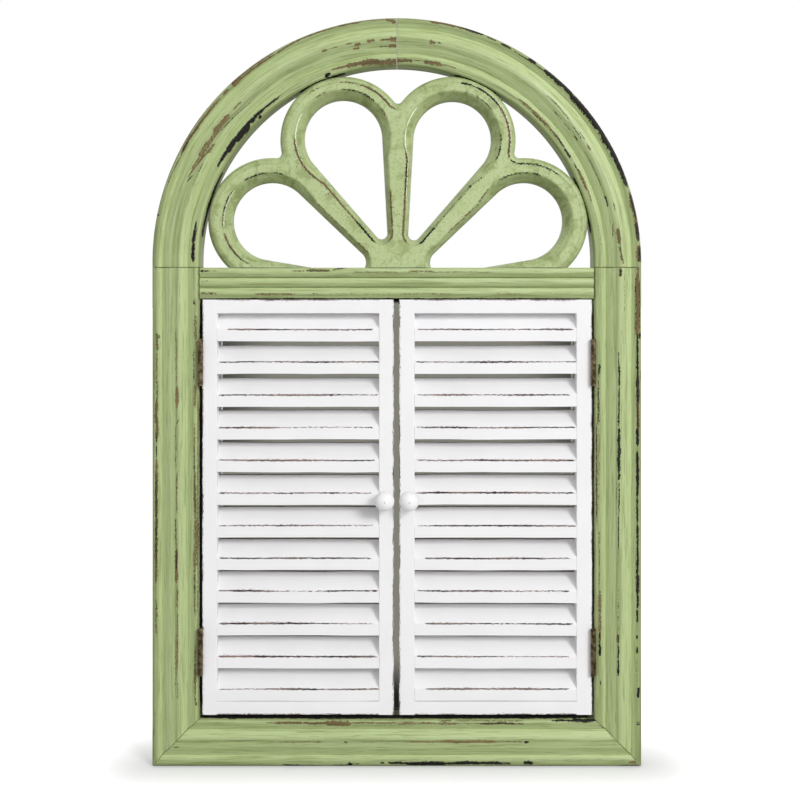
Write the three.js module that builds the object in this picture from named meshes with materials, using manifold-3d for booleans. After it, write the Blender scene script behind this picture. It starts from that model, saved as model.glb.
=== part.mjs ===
// Shutter mirror: an arched frame of moulded wood with a fretwork fan above a transom and, below the
// transom, a mirror behind two shutter doors with fixed slats, each hung on two butt hinges.
// Millimetres, +Z up, +X to the viewer's right. The front faces -Y and the back goes to the wall.
// The origin is on the bottom edge, half way along it and half way through the frame's depth.

import * as THREE from 'three';
import { mergeVertices } from 'three/addons/utils/BufferGeometryUtils.js';
import Module from 'manifold-3d';

const wasm = await Module();
wasm.setup();

// ---------------------------------------------------------------------------------------------
// Driving dimensions
// ---------------------------------------------------------------------------------------------

// Clearances
const SEAM = 0.3;               // glue line between two pieces of wood
const SEAT = 0.2;               // metal or glass against what it lies on
const RUNNING = 0.15;           // pin in a hinge knuckle
const KNUCKLE_GAP = 0.4;        // between neighbouring knuckles

// Frame
const FRAME_WIDTH = 500;
const FRAME_DEPTH = 28;
const FACE_WIDTH = 48.8;        // the moulding, outer edge to inner edge
const STILE_HEIGHT = 509.6;     // bottom edge to the joint under the arch
const ARCH_FOOT = 5;            // straight piece under each arch segment's curve
const TRANSOM_HEIGHT = 31.2;
const REBATE_WIDTH = 8;         // lip that the mirror lies behind
const REBATE_DEPTH = 5.8;

// Moulding section: widths run from the outer edge, heights from the back
const OUTER_BEAD_WIDTH = 8.5;
const OUTER_BEAD_FOOT = 20.5;
const OUTER_BEAD_RISE = 5;
const QUIRK_WIDTH = 3;          // flat groove between the outer bead and the big roll
const ROLL_WIDTH = 25;
const ROLL_FOOT = 19.8;
const INNER_BEAD_FOOT = 19.6;
const INNER_BEAD_RISE = 4.4;

// Transom section
const REED_COUNT = 3;
const REED_FOOT = 21.4;
const REED_RISE = 2.6;

// Fretwork fan
const PETAL_COUNT = 4;
const PETAL_STEP = THREE.MathUtils.degToRad(48.4);
const PETAL_OVERLAP = 18.9;     // how far two neighbouring petals' outlines run into each other
const PETAL_RIM = 25.2;         // wood round a petal's hole
const NOTCH_RADIUS = 5;
const FAN_SHIFT = { x: 1.2, z: 1.7 };   // how far the fan was glued off the arch's centre
const FRET_THICKNESS = 15;
const FRET_BACK = 8;            // its back face above the frame's back
const FRET_ROUND = 6.5;         // rounded front edges
const INNER_TIP = { x: 16.4, z: 26.8, radius: 6 };    // narrow end of the two upper holes
const OUTER_TIP = { x: 45.3, z: -1.6, radius: 12.3 };  // narrow end of the two lower holes

// Doors
const DOOR_FRONT = 24.5;        // door's front face above the frame's back
const DOOR_THICKNESS = 17;
const DOOR_SIDE_GAP = 3;
const DOOR_MEETING_GAP = 6.4;
const DOOR_TOP_GAP = 2.8;
const DOOR_BOTTOM_GAP = 3.9;
const DOOR_STILE_WIDTH = 15;
const DOOR_TOP_RAIL = 12.8;
const DOOR_BOTTOM_RAIL = 14.4;
const RAIL_TENON = { length: 5, thickness: 6, width: 7 };

// Slats
const SLAT_COUNT = 12;
const SLAT_FACE = 11;           // height of the front edge
const SLAT_DEPTH = 16;
const SLAT_RISE = 16.5;         // from the front edge up to the back edge
const SLAT_HEADROOM = 1;        // top slat's back edge under the top rail
const SLAT_TENON = { length: 3, depth: 7, face: 5 };

// Knobs
const KNOB_DIAMETER = 20;
const KNOB_NECK_RADIUS = 4;
const KNOB_NECK_LENGTH = 3.5;
const KNOB_INSET = 9.2;         // from the door's meeting edge
const KNOB_ABOVE_MIDDLE = 9.6;
const SCREW_RADIUS = 1.6;
const SCREW_HEAD_RADIUS = 3.6;
const SCREW_HEAD_HEIGHT = 2.2;
const SCREW_BITE = 9;           // length of the screw inside the knob

// Butt hinges
const HINGE_LENGTH = 47;
const HINGE_BELOW_DOOR_TOP = 62.5;      // to the middle of the hinge
const HINGE_ABOVE_DOOR_BOTTOM = 65.5;
const KNUCKLE_RADIUS = 2.75;
const KNUCKLE_COUNT = 3;
const HINGE_PIN_RADIUS = 1.5;
const LEAF_THICKNESS = 0.9;
const LEAF_WIDTH = 13;
const LEAF_CLEARANCE = 0.5;     // between a leaf and the other leaf's knuckles

// Mirror and backing
const MIRROR_THICKNESS = 2;
const BACKING_THICKNESS = 3;
const PANE_EDGE_GAP = 0.5;      // round the mirror and the backing, inside the rebate

// Keyhole hanger plates
const HANGER_WIDTH = 16;
const HANGER_HEIGHT = 45;
const HANGER_THICKNESS = 1.2;
const HANGER_FROM_EDGE = 20;    // its middle from the frame's outer edge
const HANGER_BELOW_ARCH = 60;   // its middle below the joint under the arch
const KEYHOLE_HEAD_RADIUS = 4.5;
const KEYHOLE_SLOT_RADIUS = 2.2;
const KEYHOLE_SLOT_LENGTH = 12;
const KEYHOLE_POCKET_DEPTH = 9;

// How far a cutter runs past the face that it cuts
const PAST = 1;

// Facets
const BEAD_STEPS = 5;
const ROLL_STEPS = 8;
const REED_STEPS = 4;
const ARCH_STEPS = 20;
const PETAL_STEPS = 20;
const TIP_STEPS = 6;
const ROUND_STEPS = 3;
const BALL_STEPS = 8;
const TURNED_SIDES = 16;

// ---------------------------------------------------------------------------------------------
// Derived places
// ---------------------------------------------------------------------------------------------

const BACK_Y = FRAME_DEPTH / 2;
const depthY = (height) => BACK_Y - height;             // y of a point at a height above the back

const OUTER_RADIUS = FRAME_WIDTH / 2;
const INNER_RADIUS = OUTER_RADIUS - FACE_WIDTH;
const ARCH_CENTRE_Z = STILE_HEIGHT + ARCH_FOOT;
const TRANSOM_TOP_Z = STILE_HEIGHT - SEAM;
const TRANSOM_BOTTOM_Z = TRANSOM_TOP_Z - TRANSOM_HEIGHT;

const DOOR_OUTER_X = INNER_RADIUS - DOOR_SIDE_GAP;
const DOOR_INNER_X = DOOR_MEETING_GAP / 2;
const DOOR_BOTTOM_Z = FACE_WIDTH + DOOR_BOTTOM_GAP;
const DOOR_TOP_Z = TRANSOM_BOTTOM_Z - DOOR_TOP_GAP;
const DOOR_FRONT_Y = depthY(DOOR_FRONT);
const DOOR_BACK_Y = DOOR_FRONT_Y + DOOR_THICKNESS;
const RAIL_LENGTH = DOOR_OUTER_X - DOOR_INNER_X - 2 * DOOR_STILE_WIDTH - 2 * SEAM;
const DOOR_MIDDLE_X = (DOOR_OUTER_X + DOOR_INNER_X) / 2;

const HINGE_X = INNER_RADIUS - DOOR_SIDE_GAP / 2;
const HINGE_Y = DOOR_FRONT_Y - SEAM - KNUCKLE_RADIUS;
const HINGE_HEIGHTS = {
  lower: DOOR_BOTTOM_Z + HINGE_ABOVE_DOOR_BOTTOM,
  upper: DOOR_TOP_Z - HINGE_BELOW_DOOR_TOP,
};

const LOWEST_SLAT_Z = DOOR_BOTTOM_Z + DOOR_BOTTOM_RAIL + SEAM;
const HIGHEST_SLAT_Z = DOOR_TOP_Z - DOOR_TOP_RAIL - SLAT_HEADROOM - SLAT_RISE - SLAT_FACE;
const SLAT_PITCH = (HIGHEST_SLAT_Z - LOWEST_SLAT_Z) / (SLAT_COUNT - 1);

const KNOB_X = DOOR_INNER_X + KNOB_INSET;
const KNOB_Z = (DOOR_BOTTOM_Z + DOOR_TOP_Z) / 2 + KNOB_ABOVE_MIDDLE;

const HANGER_X = OUTER_RADIUS - HANGER_FROM_EDGE;
const HANGER_Z = STILE_HEIGHT - HANGER_BELOW_ARCH;

const SIDES = { left: -1, right: 1 };

// ---------------------------------------------------------------------------------------------
// Finishes
// ---------------------------------------------------------------------------------------------

const finish = (color, roughness, metalness = 0) =>
  new THREE.MeshStandardMaterial({ color, roughness, metalness });

const GREEN_PAINT = finish(0xa3b27b, 0.6);
const WHITE_PAINT = finish(0xf0f0f0, 0.55);
const DARK_BRONZE = finish(0x4a3626, 0.45, 0.9);
const STEEL = finish(0xb9b9b4, 0.4, 1);
const SILVERED_GLASS = finish(0xc8cccb, 0.05, 1);
const HARDBOARD = finish(0x7d5a3c, 0.85);

// ---------------------------------------------------------------------------------------------
// Shape helpers
// ---------------------------------------------------------------------------------------------

/** A closed geometry as a solid that can be joined and cut. */
function solid(geometry) {
  const bare = geometry.index ? geometry.clone() : geometry;
  bare.deleteAttribute('normal');
  bare.deleteAttribute('uv');
  const merged = mergeVertices(bare, 1e-4);
  return new wasm.Manifold(new wasm.Mesh({
    numProp: 3,
    vertProperties: new Float32Array(merged.attributes.position.array),
    triVerts: new Uint32Array(merged.index.array),
  }));
}

/** A joined or cut solid as a geometry. */
function geometryOf(manifold) {
  const mesh = manifold.getMesh();
  const geometry = new THREE.BufferGeometry();
  geometry.setAttribute('position', new THREE.BufferAttribute(mesh.vertProperties, 3));
  geometry.setIndex(new THREE.BufferAttribute(mesh.triVerts, 1));
  geometry.computeVertexNormals();
  return geometry;
}

/** A box between two corners. */
function box([x0, y0, z0], [x1, y1, z1]) {
  const geometry = new THREE.BoxGeometry(Math.abs(x1 - x0), Math.abs(y1 - y0), Math.abs(z1 - z0));
  return geometry.translate((x0 + x1) / 2, (y0 + y1) / 2, (z0 + z1) / 2);
}

/** A cylinder along Z that starts at z0. */
function uprightCylinder(radius, z0, length, x = 0, y = 0) {
  const geometry = new THREE.CylinderGeometry(radius, radius, length, TURNED_SIDES);
  return geometry.rotateX(Math.PI / 2).translate(x, y, z0 + length / 2);
}

/** A cylinder along Y between two places. */
function levelCylinder(radius, x, z, y0, y1) {
  const geometry = new THREE.CylinderGeometry(radius, radius, y1 - y0, TURNED_SIDES);
  return geometry.translate(x, (y0 + y1) / 2, z);
}

/** A section given as [y, z] points, carried along X and centred on x = 0. */
function alongX(points, length) {
  const shape = new THREE.Shape(points.map(([y, z]) => new THREE.Vector2(y, z)));
  const geometry = new THREE.ExtrudeGeometry(shape, { depth: length, bevelEnabled: false });
  const turn = new THREE.Matrix4().set(0, 0, 1, -length / 2, 1, 0, 0, 0, 0, 1, 0, 0, 0, 0, 0, 1);
  return geometry.applyMatrix4(turn);
}

/**
 * A section of [u, height] points carried through stations, each a function that puts a point of
 * the section in space. The first and last stations are closed with the section's own triangles.
 */
function sweep(section, stations) {
  const count = section.length;
  const positions = stations.flatMap((station) => section.flatMap(([u, height]) => station(u, height)));
  const index = [];
  for (let i = 0; i + 1 < stations.length; i += 1) {
    for (let j = 0; j < count; j += 1) {
      const next = (j + 1) % count;
      const [a, b] = [i * count + j, i * count + next];
      const [c, d] = [a + count, b + count];
      index.push(a, b, d, a, d, c);
    }
  }
  const outline = section.map(([u, height]) => new THREE.Vector2(u, height));
  const last = (stations.length - 1) * count;
  for (const corners of THREE.ShapeUtils.triangulateShape(outline, [])) {
    const [p, q, r] = followsOutline(outline, corners) ? corners : [...corners].reverse();
    index.push(p, r, q);
    index.push(last + p, last + q, last + r);
  }
  const geometry = new THREE.BufferGeometry();
  geometry.setAttribute('position', new THREE.Float32BufferAttribute(positions, 3));
  geometry.setIndex(index);
  if (signedVolume(geometry) < 0) {
    flip(geometry);
  }
  geometry.computeVertexNormals();
  return geometry;
}

/** Whether a triangle of an outline's points turns the same way as the outline. */
function followsOutline(outline, [p, q, r]) {
  const turn = outline[q].clone().sub(outline[p]).cross(outline[r].clone().sub(outline[p]));
  return turn > 0 !== THREE.ShapeUtils.isClockWise(outline);
}

function signedVolume(geometry) {
  const [a, b, c] = [new THREE.Vector3(), new THREE.Vector3(), new THREE.Vector3()];
  const { position } = geometry.attributes;
  let sum = 0;
  for (let i = 0; i < geometry.index.count; i += 3) {
    a.fromBufferAttribute(position, geometry.index.getX(i));
    b.fromBufferAttribute(position, geometry.index.getX(i + 1));
    c.fromBufferAttribute(position, geometry.index.getX(i + 2));
    sum += a.dot(b.cross(c));
  }
  return sum / 6;
}

function flip(geometry) {
  const { array } = geometry.index;
  for (let i = 0; i < array.length; i += 3) {
    [array[i + 1], array[i + 2]] = [array[i + 2], array[i + 1]];
  }
}

/** Points inside a raised curve between two places, without the places themselves. */
function raised([u0, h0], [u1, h1], rise, steps, curve) {
  return Array.from({ length: steps - 1 }, (_, i) => {
    const [along, up] = curve((i + 1) / steps);
    return [u0 + (u1 - u0) * along, h0 + (h1 - h0) * along + rise * up];
  });
}

const halfRound = (t) => [(1 - Math.cos(Math.PI * t)) / 2, Math.sin(Math.PI * t)];
const halfWave = (t) => [t, Math.sin(Math.PI * t)];

/** Points on an arc from one angle to another, in the plane of the fretwork. */
function arc(centre, radius, from, to, steps) {
  return Array.from({ length: steps + 1 }, (_, i) => {
    const angle = from + ((to - from) * i) / steps;
    return new THREE.Vector2(
      centre.x + radius * Math.cos(angle),
      centre.y + radius * Math.sin(angle),
    );
  });
}

/** The direction from one point to another, as an angle. */
const angleOf = (from, to) => Math.atan2(to.y - from.y, to.x - from.x);

/** An angle, moved by whole turns until it is no less than a start. */
const after = (angle, start) => angle + 2 * Math.PI * Math.ceil((start - angle) / (2 * Math.PI));

/** A named piece, put into a group at its place in the whole object's frame. */
function addPiece(group, name, geometry, material) {
  const mesh = new THREE.Mesh(geometry, material);
  mesh.name = name;
  mesh.position.copy(group.position).negate();
  group.add(mesh);
}

// ---------------------------------------------------------------------------------------------
// Frame
// ---------------------------------------------------------------------------------------------

/** The moulding's section, with or without the rebate for the mirror. */
function mouldingSection(hasRebate) {
  const outerFoot = [0, OUTER_BEAD_FOOT];
  const outerBead = [OUTER_BEAD_WIDTH, OUTER_BEAD_FOOT];
  const rollStart = [OUTER_BEAD_WIDTH + QUIRK_WIDTH, ROLL_FOOT];
  const rollEnd = [rollStart[0] + ROLL_WIDTH, ROLL_FOOT];
  const innerBead = [rollEnd[0] + SEAM, INNER_BEAD_FOOT];
  const innerEdge = [FACE_WIDTH, INNER_BEAD_FOOT];
  const rollRise = FRAME_DEPTH - ROLL_FOOT;
  const lip = FACE_WIDTH - REBATE_WIDTH;
  const back = hasRebate ? [[FACE_WIDTH, REBATE_DEPTH], [lip, REBATE_DEPTH], [lip, 0]] : [[FACE_WIDTH, 0]];
  return [
    [0, 0],
    outerFoot,
    ...raised(outerFoot, outerBead, OUTER_BEAD_RISE, BEAD_STEPS, halfRound),
    outerBead,
    rollStart,
    ...raised(rollStart, rollEnd, rollRise, ROLL_STEPS, halfWave),
    rollEnd,
    innerBead,
    ...raised(innerBead, innerEdge, INNER_BEAD_RISE, BEAD_STEPS, halfRound),
    innerEdge,
    ...back,
  ];
}

/** An upright frame member: mitred at the bottom, square under the arch. */
function frameStile(side) {
  const x = (u) => side * (OUTER_RADIUS - u);
  const mitre = SEAM / Math.SQRT2;
  const body = solid(sweep(mouldingSection(true), [
    (u, height) => [x(u), depthY(height), u + mitre],
    (u, height) => [x(u), depthY(height), STILE_HEIGHT - SEAM],
  ]));
  return geometryOf(body.subtract(hangerRecess(side)));
}

/** The bottom member, mitred at both ends. */
function frameBottomRail() {
  const reach = (u) => OUTER_RADIUS - u - SEAM / Math.SQRT2;
  return sweep(mouldingSection(true), [
    (u, height) => [-reach(u), depthY(height), u],
    (u, height) => [reach(u), depthY(height), u],
  ]);
}

/** Half of the arch: a short straight foot, then a quarter circle up to the joint at the crown. */
function archSegment(side) {
  const station = (angle, shift) => (u, height) => [
    side * ((OUTER_RADIUS - u) * Math.cos(angle) + shift),
    depthY(height),
    ARCH_CENTRE_Z + (OUTER_RADIUS - u) * Math.sin(angle),
  ];
  const foot = (u, height) => [side * (OUTER_RADIUS - u), depthY(height), STILE_HEIGHT];
  const curve = Array.from({ length: ARCH_STEPS + 1 }, (_, i) => {
    const crown = i === ARCH_STEPS ? SEAM / 2 : 0;
    return station((Math.PI / 2) * (i / ARCH_STEPS), crown);
  });
  return sweep(mouldingSection(false), [foot, ...curve]);
}

/** The rail between the stiles: three reeds in front, and ears behind that lie in the rebates. */
function transomRail() {
  const reed = TRANSOM_HEIGHT / REED_COUNT;
  const point = (z, height) => [depthY(height), TRANSOM_BOTTOM_Z + z];
  const reeds = Array.from({ length: REED_COUNT }, (_, i) => {
    const [low, high] = [[i * reed, REED_FOOT], [(i + 1) * reed, REED_FOOT]];
    return [low, ...raised(low, high, REED_RISE, REED_STEPS, halfWave)];
  }).flat();
  const section = [
    [REBATE_WIDTH, 0],
    [REBATE_WIDTH, REBATE_DEPTH],
    [0, REBATE_DEPTH],
    ...reeds,
    [TRANSOM_HEIGHT, REED_FOOT],
    [TRANSOM_HEIGHT, 0],
  ].map(([z, height]) => point(z, height));
  const ear = INNER_RADIUS + REBATE_WIDTH - SEAM;
  const ears = box(
    [-ear, depthY(REBATE_DEPTH - SEAM), TRANSOM_BOTTOM_Z + REBATE_WIDTH],
    [ear, BACK_Y, TRANSOM_TOP_Z],
  );
  return geometryOf(solid(alongX(section, 2 * (INNER_RADIUS - SEAM))).add(solid(ears)));
}

// ---------------------------------------------------------------------------------------------
// Fretwork
// ---------------------------------------------------------------------------------------------

/** The petals' outer radius, so that they touch the arch and run into each other by the overlap. */
function petalRadius() {
  const half = Math.sin(PETAL_STEP / 2);
  return (2 * (INNER_RADIUS - SEAM) * half + PETAL_OVERLAP) / (2 + 2 * half);
}

/** Centres of the petals about the arch's centre, from right to left. */
function petalCentres() {
  const distance = INNER_RADIUS - SEAM - petalRadius();
  return Array.from({ length: PETAL_COUNT }, (_, i) => {
    const angle = Math.PI / 2 + (i - (PETAL_COUNT - 1) / 2) * PETAL_STEP;
    return new THREE.Vector2(distance * Math.cos(angle), distance * Math.sin(angle));
  });
}

/** Centre of the fillet circle that rolls into the notch between two petals. */
function notchCentre(right, left) {
  const middle = right.clone().add(left).multiplyScalar(0.5);
  const half = right.distanceTo(left) / 2;
  const reach = Math.sqrt((petalRadius() + NOTCH_RADIUS) ** 2 - half ** 2);
  return middle.clone().add(middle.clone().normalize().multiplyScalar(reach));
}

/** The fan's outline, carried below the transom so that its base can be sawn straight. */
function fanOutline() {
  const centres = petalCentres();
  const radius = petalRadius();
  const footAngle = -Math.PI / 3;
  const points = [];
  centres.forEach((centre, i) => {
    const previous = i > 0 ? notchCentre(centres[i - 1], centre) : null;
    const next = i + 1 < centres.length ? notchCentre(centre, centres[i + 1]) : null;
    const from = previous ? angleOf(centre, previous) : footAngle;
    const to = after(next ? angleOf(centre, next) : Math.PI - footAngle, from);
    points.push(...arc(centre, radius, from, to, PETAL_STEPS));
    if (next) {
      const end = angleOf(next, centres[i + 1]);
      const start = after(angleOf(next, centre), end);
      points.push(...arc(next, NOTCH_RADIUS, start, end, TIP_STEPS).slice(1, -1));
    }
  });
  const below = -radius;
  points.push(new THREE.Vector2(points[points.length - 1].x, below));
  points.push(new THREE.Vector2(points[0].x, below));
  return points;
}

/** A petal's hole: the outline round a large circle and a small one. */
function petalHole(centre, radius, tip, tipRadius) {
  const axis = angleOf(centre, tip);
  const spread = Math.acos((radius - tipRadius) / centre.distanceTo(tip));
  return [
    ...arc(centre, radius, axis + spread, axis + 2 * Math.PI - spread, PETAL_STEPS),
    ...arc(tip, tipRadius, axis - spread, axis + spread, TIP_STEPS),
  ];
}

function fretwork() {
  const shape = new THREE.Shape(fanOutline());
  const holeRadius = petalRadius() - PETAL_RIM;
  for (const centre of petalCentres()) {
    const end = centre.y > centre.length() / 2 ? INNER_TIP : OUTER_TIP;
    const tip = new THREE.Vector2(Math.sign(centre.x) * end.x, end.z);
    shape.holes.push(new THREE.Path(petalHole(centre, holeRadius, tip, end.radius)));
  }
  const board = new THREE.ExtrudeGeometry(shape, {
    depth: FRET_THICKNESS - FRET_ROUND,
    bevelEnabled: true,
    bevelThickness: FRET_ROUND,
    bevelSize: FRET_ROUND,
    bevelOffset: -FRET_ROUND,
    bevelSegments: ROUND_STEPS,
  });
  board.rotateX(Math.PI / 2);
  board.translate(FAN_SHIFT.x, depthY(FRET_BACK), ARCH_CENTRE_Z + FAN_SHIFT.z);
  const far = 2 * OUTER_RADIUS;
  const underBase = box([-far, -far, -far], [far, far, STILE_HEIGHT]);
  const behindBack = box([-far, depthY(FRET_BACK), 0], [far, far, 2 * far]);
  return geometryOf(
    solid(board)
      .intersect(solid(roomInsideArch()))
      .subtract(solid(underBase))
      .subtract(solid(behindBack)),
  );
}

/** The space that the arch's inner wall leaves for the fan, with the wall's own facets. */
function roomInsideArch() {
  const sides = 4 * ARCH_STEPS;
  const room = new THREE.CylinderGeometry(INNER_RADIUS - SEAM, INNER_RADIUS - SEAM, 2 * FRAME_DEPTH, sides);
  return room.translate(0, 0, ARCH_CENTRE_Z);
}

// ---------------------------------------------------------------------------------------------
// Mirror, backing and hangers
// ---------------------------------------------------------------------------------------------

/** A sheet that lies in the rebate, from one height above the back to another. */
function pane(from, to) {
  const x = INNER_RADIUS + REBATE_WIDTH - PANE_EDGE_GAP;
  const bottom = FACE_WIDTH - REBATE_WIDTH + PANE_EDGE_GAP;
  const top = TRANSOM_BOTTOM_Z + REBATE_WIDTH - PANE_EDGE_GAP;
  return box([-x, depthY(to), bottom], [x, depthY(from), top]);
}

/** The keyhole through a hanger plate, or the pocket for it in the wood, as a solid. */
function keyhole(x, y0, y1, clearance) {
  const head = levelCylinder(KEYHOLE_HEAD_RADIUS + clearance, x, HANGER_Z, y0, y1);
  const slotRadius = KEYHOLE_SLOT_RADIUS + clearance;
  const slotTop = HANGER_Z + KEYHOLE_SLOT_LENGTH;
  const slot = box([x - slotRadius, y0, HANGER_Z], [x + slotRadius, y1, slotTop]);
  const slotEnd = levelCylinder(slotRadius, x, slotTop, y0, y1);
  return solid(head).add(solid(slot)).add(solid(slotEnd));
}

/** A hanger plate's block between two depths, grown by a clearance. */
function hangerBlock(side, y0, y1, clearance) {
  const x = side * HANGER_X;
  const half = [HANGER_WIDTH / 2 + clearance, HANGER_HEIGHT / 2 + clearance];
  return solid(box([x - half[0], y0, HANGER_Z - half[1]], [x + half[0], y1, HANGER_Z + half[1]]));
}

/** What is cut from a stile's back for its hanger: the plate's recess and the nail head's pocket. */
function hangerRecess(side) {
  const floor = BACK_Y - SEAT - HANGER_THICKNESS - SEAT;
  const recess = hangerBlock(side, floor, BACK_Y + PAST, SEAT);
  const nailHead = KEYHOLE_HEAD_RADIUS - KEYHOLE_SLOT_RADIUS;
  return recess.add(keyhole(side * HANGER_X, BACK_Y - KEYHOLE_POCKET_DEPTH, BACK_Y, nailHead));
}

function hangerPlate(side) {
  const [front, back] = [BACK_Y - SEAT - HANGER_THICKNESS, BACK_Y - SEAT];
  const plate = hangerBlock(side, front, back, 0);
  return geometryOf(plate.subtract(keyhole(side * HANGER_X, front - PAST, back + PAST, 0)));
}

// ---------------------------------------------------------------------------------------------
// Hinges
// ---------------------------------------------------------------------------------------------

const KNUCKLE_LENGTH = (HINGE_LENGTH - (KNUCKLE_COUNT - 1) * KNUCKLE_GAP) / KNUCKLE_COUNT;

/**
 * One leaf of a butt hinge: a plate in the gap beside the door, and every other knuckle. The frame's
 * leaf has the first and last knuckles, and the door's leaf has those between.
 */
function hingeLeaf(side, middleZ, onFrame) {
  const x = side * HINGE_X;
  const seat = onFrame ? INNER_RADIUS - SEAT - LEAF_THICKNESS : DOOR_OUTER_X + SEAT;
  const [near, far] = [side * seat, side * (seat + LEAF_THICKNESS)];
  const bottom = middleZ - HINGE_LENGTH / 2;
  const plateY = HINGE_Y + KNUCKLE_RADIUS + LEAF_CLEARANCE;
  let leaf = solid(box([near, plateY, bottom], [far, plateY + LEAF_WIDTH, bottom + HINGE_LENGTH]));
  for (let i = onFrame ? 0 : 1; i < KNUCKLE_COUNT; i += 2) {
    const z = bottom + i * (KNUCKLE_LENGTH + KNUCKLE_GAP);
    const tab = box([near, HINGE_Y, z], [far, plateY + LEAF_THICKNESS, z + KNUCKLE_LENGTH]);
    const barrel = uprightCylinder(KNUCKLE_RADIUS, z, KNUCKLE_LENGTH, x, HINGE_Y);
    leaf = leaf.add(solid(tab)).add(solid(barrel));
  }
  const bore = uprightCylinder(
    HINGE_PIN_RADIUS + RUNNING, bottom - PAST, HINGE_LENGTH + 2 * PAST, x, HINGE_Y,
  );
  return geometryOf(leaf.subtract(solid(bore)));
}

function hingePin(side, middleZ) {
  const bottom = middleZ - HINGE_LENGTH / 2;
  return uprightCylinder(HINGE_PIN_RADIUS, bottom, HINGE_LENGTH, side * HINGE_X, HINGE_Y);
}

// ---------------------------------------------------------------------------------------------
// Doors
// ---------------------------------------------------------------------------------------------

/** A slat's section at its place on the door: a leaning parallelogram, as [y, z] points. */
function leaningSection(z, depthFrom, depthTo, faceFrom, faceTo) {
  const slope = SLAT_RISE / SLAT_DEPTH;
  const point = (depth, face) => [DOOR_FRONT_Y + depth, z + face + depth * slope];
  return [
    point(depthFrom, faceFrom),
    point(depthTo, faceFrom),
    point(depthTo, faceTo),
    point(depthFrom, faceTo),
  ];
}

const slatZ = (number) => LOWEST_SLAT_Z + (SLAT_COUNT - number) * SLAT_PITCH;

/** A slat's stub tenons, or the mortises for them when grown by a clearance. */
function slatTenon(z, clearance) {
  const depthFrom = (SLAT_DEPTH - SLAT_TENON.depth) / 2;
  const faceFrom = (SLAT_FACE - SLAT_TENON.face) / 2;
  const section = leaningSection(
    z,
    depthFrom - clearance,
    depthFrom + SLAT_TENON.depth + clearance,
    faceFrom - 2 * clearance,
    faceFrom + SLAT_TENON.face + 2 * clearance,
  );
  return alongX(section, RAIL_LENGTH + 2 * (SLAT_TENON.length + clearance));
}

/** A rail's stub tenons, or the mortises for them when grown by a clearance. */
function railTenon(bottom, height, clearance) {
  const middleY = (DOOR_FRONT_Y + DOOR_BACK_Y) / 2;
  const middleZ = bottom + height / 2;
  const halfLength = RAIL_LENGTH / 2 + RAIL_TENON.length + clearance;
  const halfThickness = RAIL_TENON.thickness / 2 + clearance;
  const halfWidth = RAIL_TENON.width / 2 + clearance;
  return box(
    [-halfLength, middleY - halfThickness, middleZ - halfWidth],
    [halfLength, middleY + halfThickness, middleZ + halfWidth],
  );
}

function doorRail(side, bottom, height) {
  const half = RAIL_LENGTH / 2;
  const body = box([-half, DOOR_FRONT_Y, bottom], [half, DOOR_BACK_Y, bottom + height]);
  const whole = solid(body).add(solid(railTenon(bottom, height, 0)));
  return geometryOf(whole).translate(side * DOOR_MIDDLE_X, 0, 0);
}

function slat(side, number) {
  const z = slatZ(number);
  const body = alongX(leaningSection(z, 0, SLAT_DEPTH, 0, SLAT_FACE), RAIL_LENGTH);
  const whole = solid(body).add(solid(slatTenon(z, 0)));
  return geometryOf(whole).translate(side * DOOR_MIDDLE_X, 0, 0);
}

/** Everything that is let into the stiles of one door. */
function doorMortises(side) {
  let cut = solid(railTenon(DOOR_BOTTOM_Z, DOOR_BOTTOM_RAIL, SEAT))
    .add(solid(railTenon(DOOR_TOP_Z - DOOR_TOP_RAIL, DOOR_TOP_RAIL, SEAT)));
  for (let number = 1; number <= SLAT_COUNT; number += 1) {
    cut = cut.add(solid(slatTenon(slatZ(number), SEAT)));
  }
  return cut.translate([side * DOOR_MIDDLE_X, 0, 0]);
}

/** The hole through a meeting stile for the knob's screw, wider at the back for its head. */
function knobScrewHole(side) {
  const x = side * KNOB_X;
  const behind = DOOR_BACK_Y + PAST;
  const shank = levelCylinder(SCREW_RADIUS + SEAT, x, KNOB_Z, DOOR_FRONT_Y - PAST, behind);
  const headFloor = DOOR_BACK_Y - SCREW_HEAD_HEIGHT - 2 * SEAT;
  const head = levelCylinder(SCREW_HEAD_RADIUS + SEAT, x, KNOB_Z, headFloor, behind);
  return solid(shank).add(solid(head));
}

function doorStile(side, isMeeting) {
  const inner = isMeeting ? DOOR_INNER_X : DOOR_OUTER_X - DOOR_STILE_WIDTH;
  const post = solid(box(
    [side * inner, DOOR_FRONT_Y, DOOR_BOTTOM_Z],
    [side * (inner + DOOR_STILE_WIDTH), DOOR_BACK_Y, DOOR_TOP_Z],
  )).subtract(doorMortises(side));
  return geometryOf(isMeeting ? post.subtract(knobScrewHole(side)) : post);
}

/** A profile of [radius, reach] points turned about an axis along -Y from a place on the door. */
function turned(profile, side, y) {
  const points = profile.map(([radius, reach]) => new THREE.Vector2(radius, reach));
  const geometry = new THREE.LatheGeometry(points, TURNED_SIDES);
  return geometry.rotateX(Math.PI).translate(side * KNOB_X, y, KNOB_Z);
}

/** A turned ball on a short neck, bored from behind for its screw. */
function knob(side) {
  const radius = KNOB_DIAMETER / 2;
  const neckAngle = Math.asin(KNOB_NECK_RADIUS / radius);
  const centre = SEAM + KNOB_NECK_LENGTH + radius * Math.cos(neckAngle);
  const ball = Array.from({ length: BALL_STEPS }, (_, i) => {
    const angle = neckAngle + ((Math.PI - neckAngle) * i) / BALL_STEPS;
    return [radius * Math.sin(angle), centre - radius * Math.cos(angle)];
  });
  const bore = SCREW_RADIUS + SEAT;
  return turned([
    [0, SCREW_BITE + SEAT],
    [bore, SCREW_BITE + SEAT],
    [bore, SEAM],
    [KNOB_NECK_RADIUS, SEAM],
    ...ball,
    [0, centre + radius],
  ], side, DOOR_FRONT_Y);
}

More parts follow.
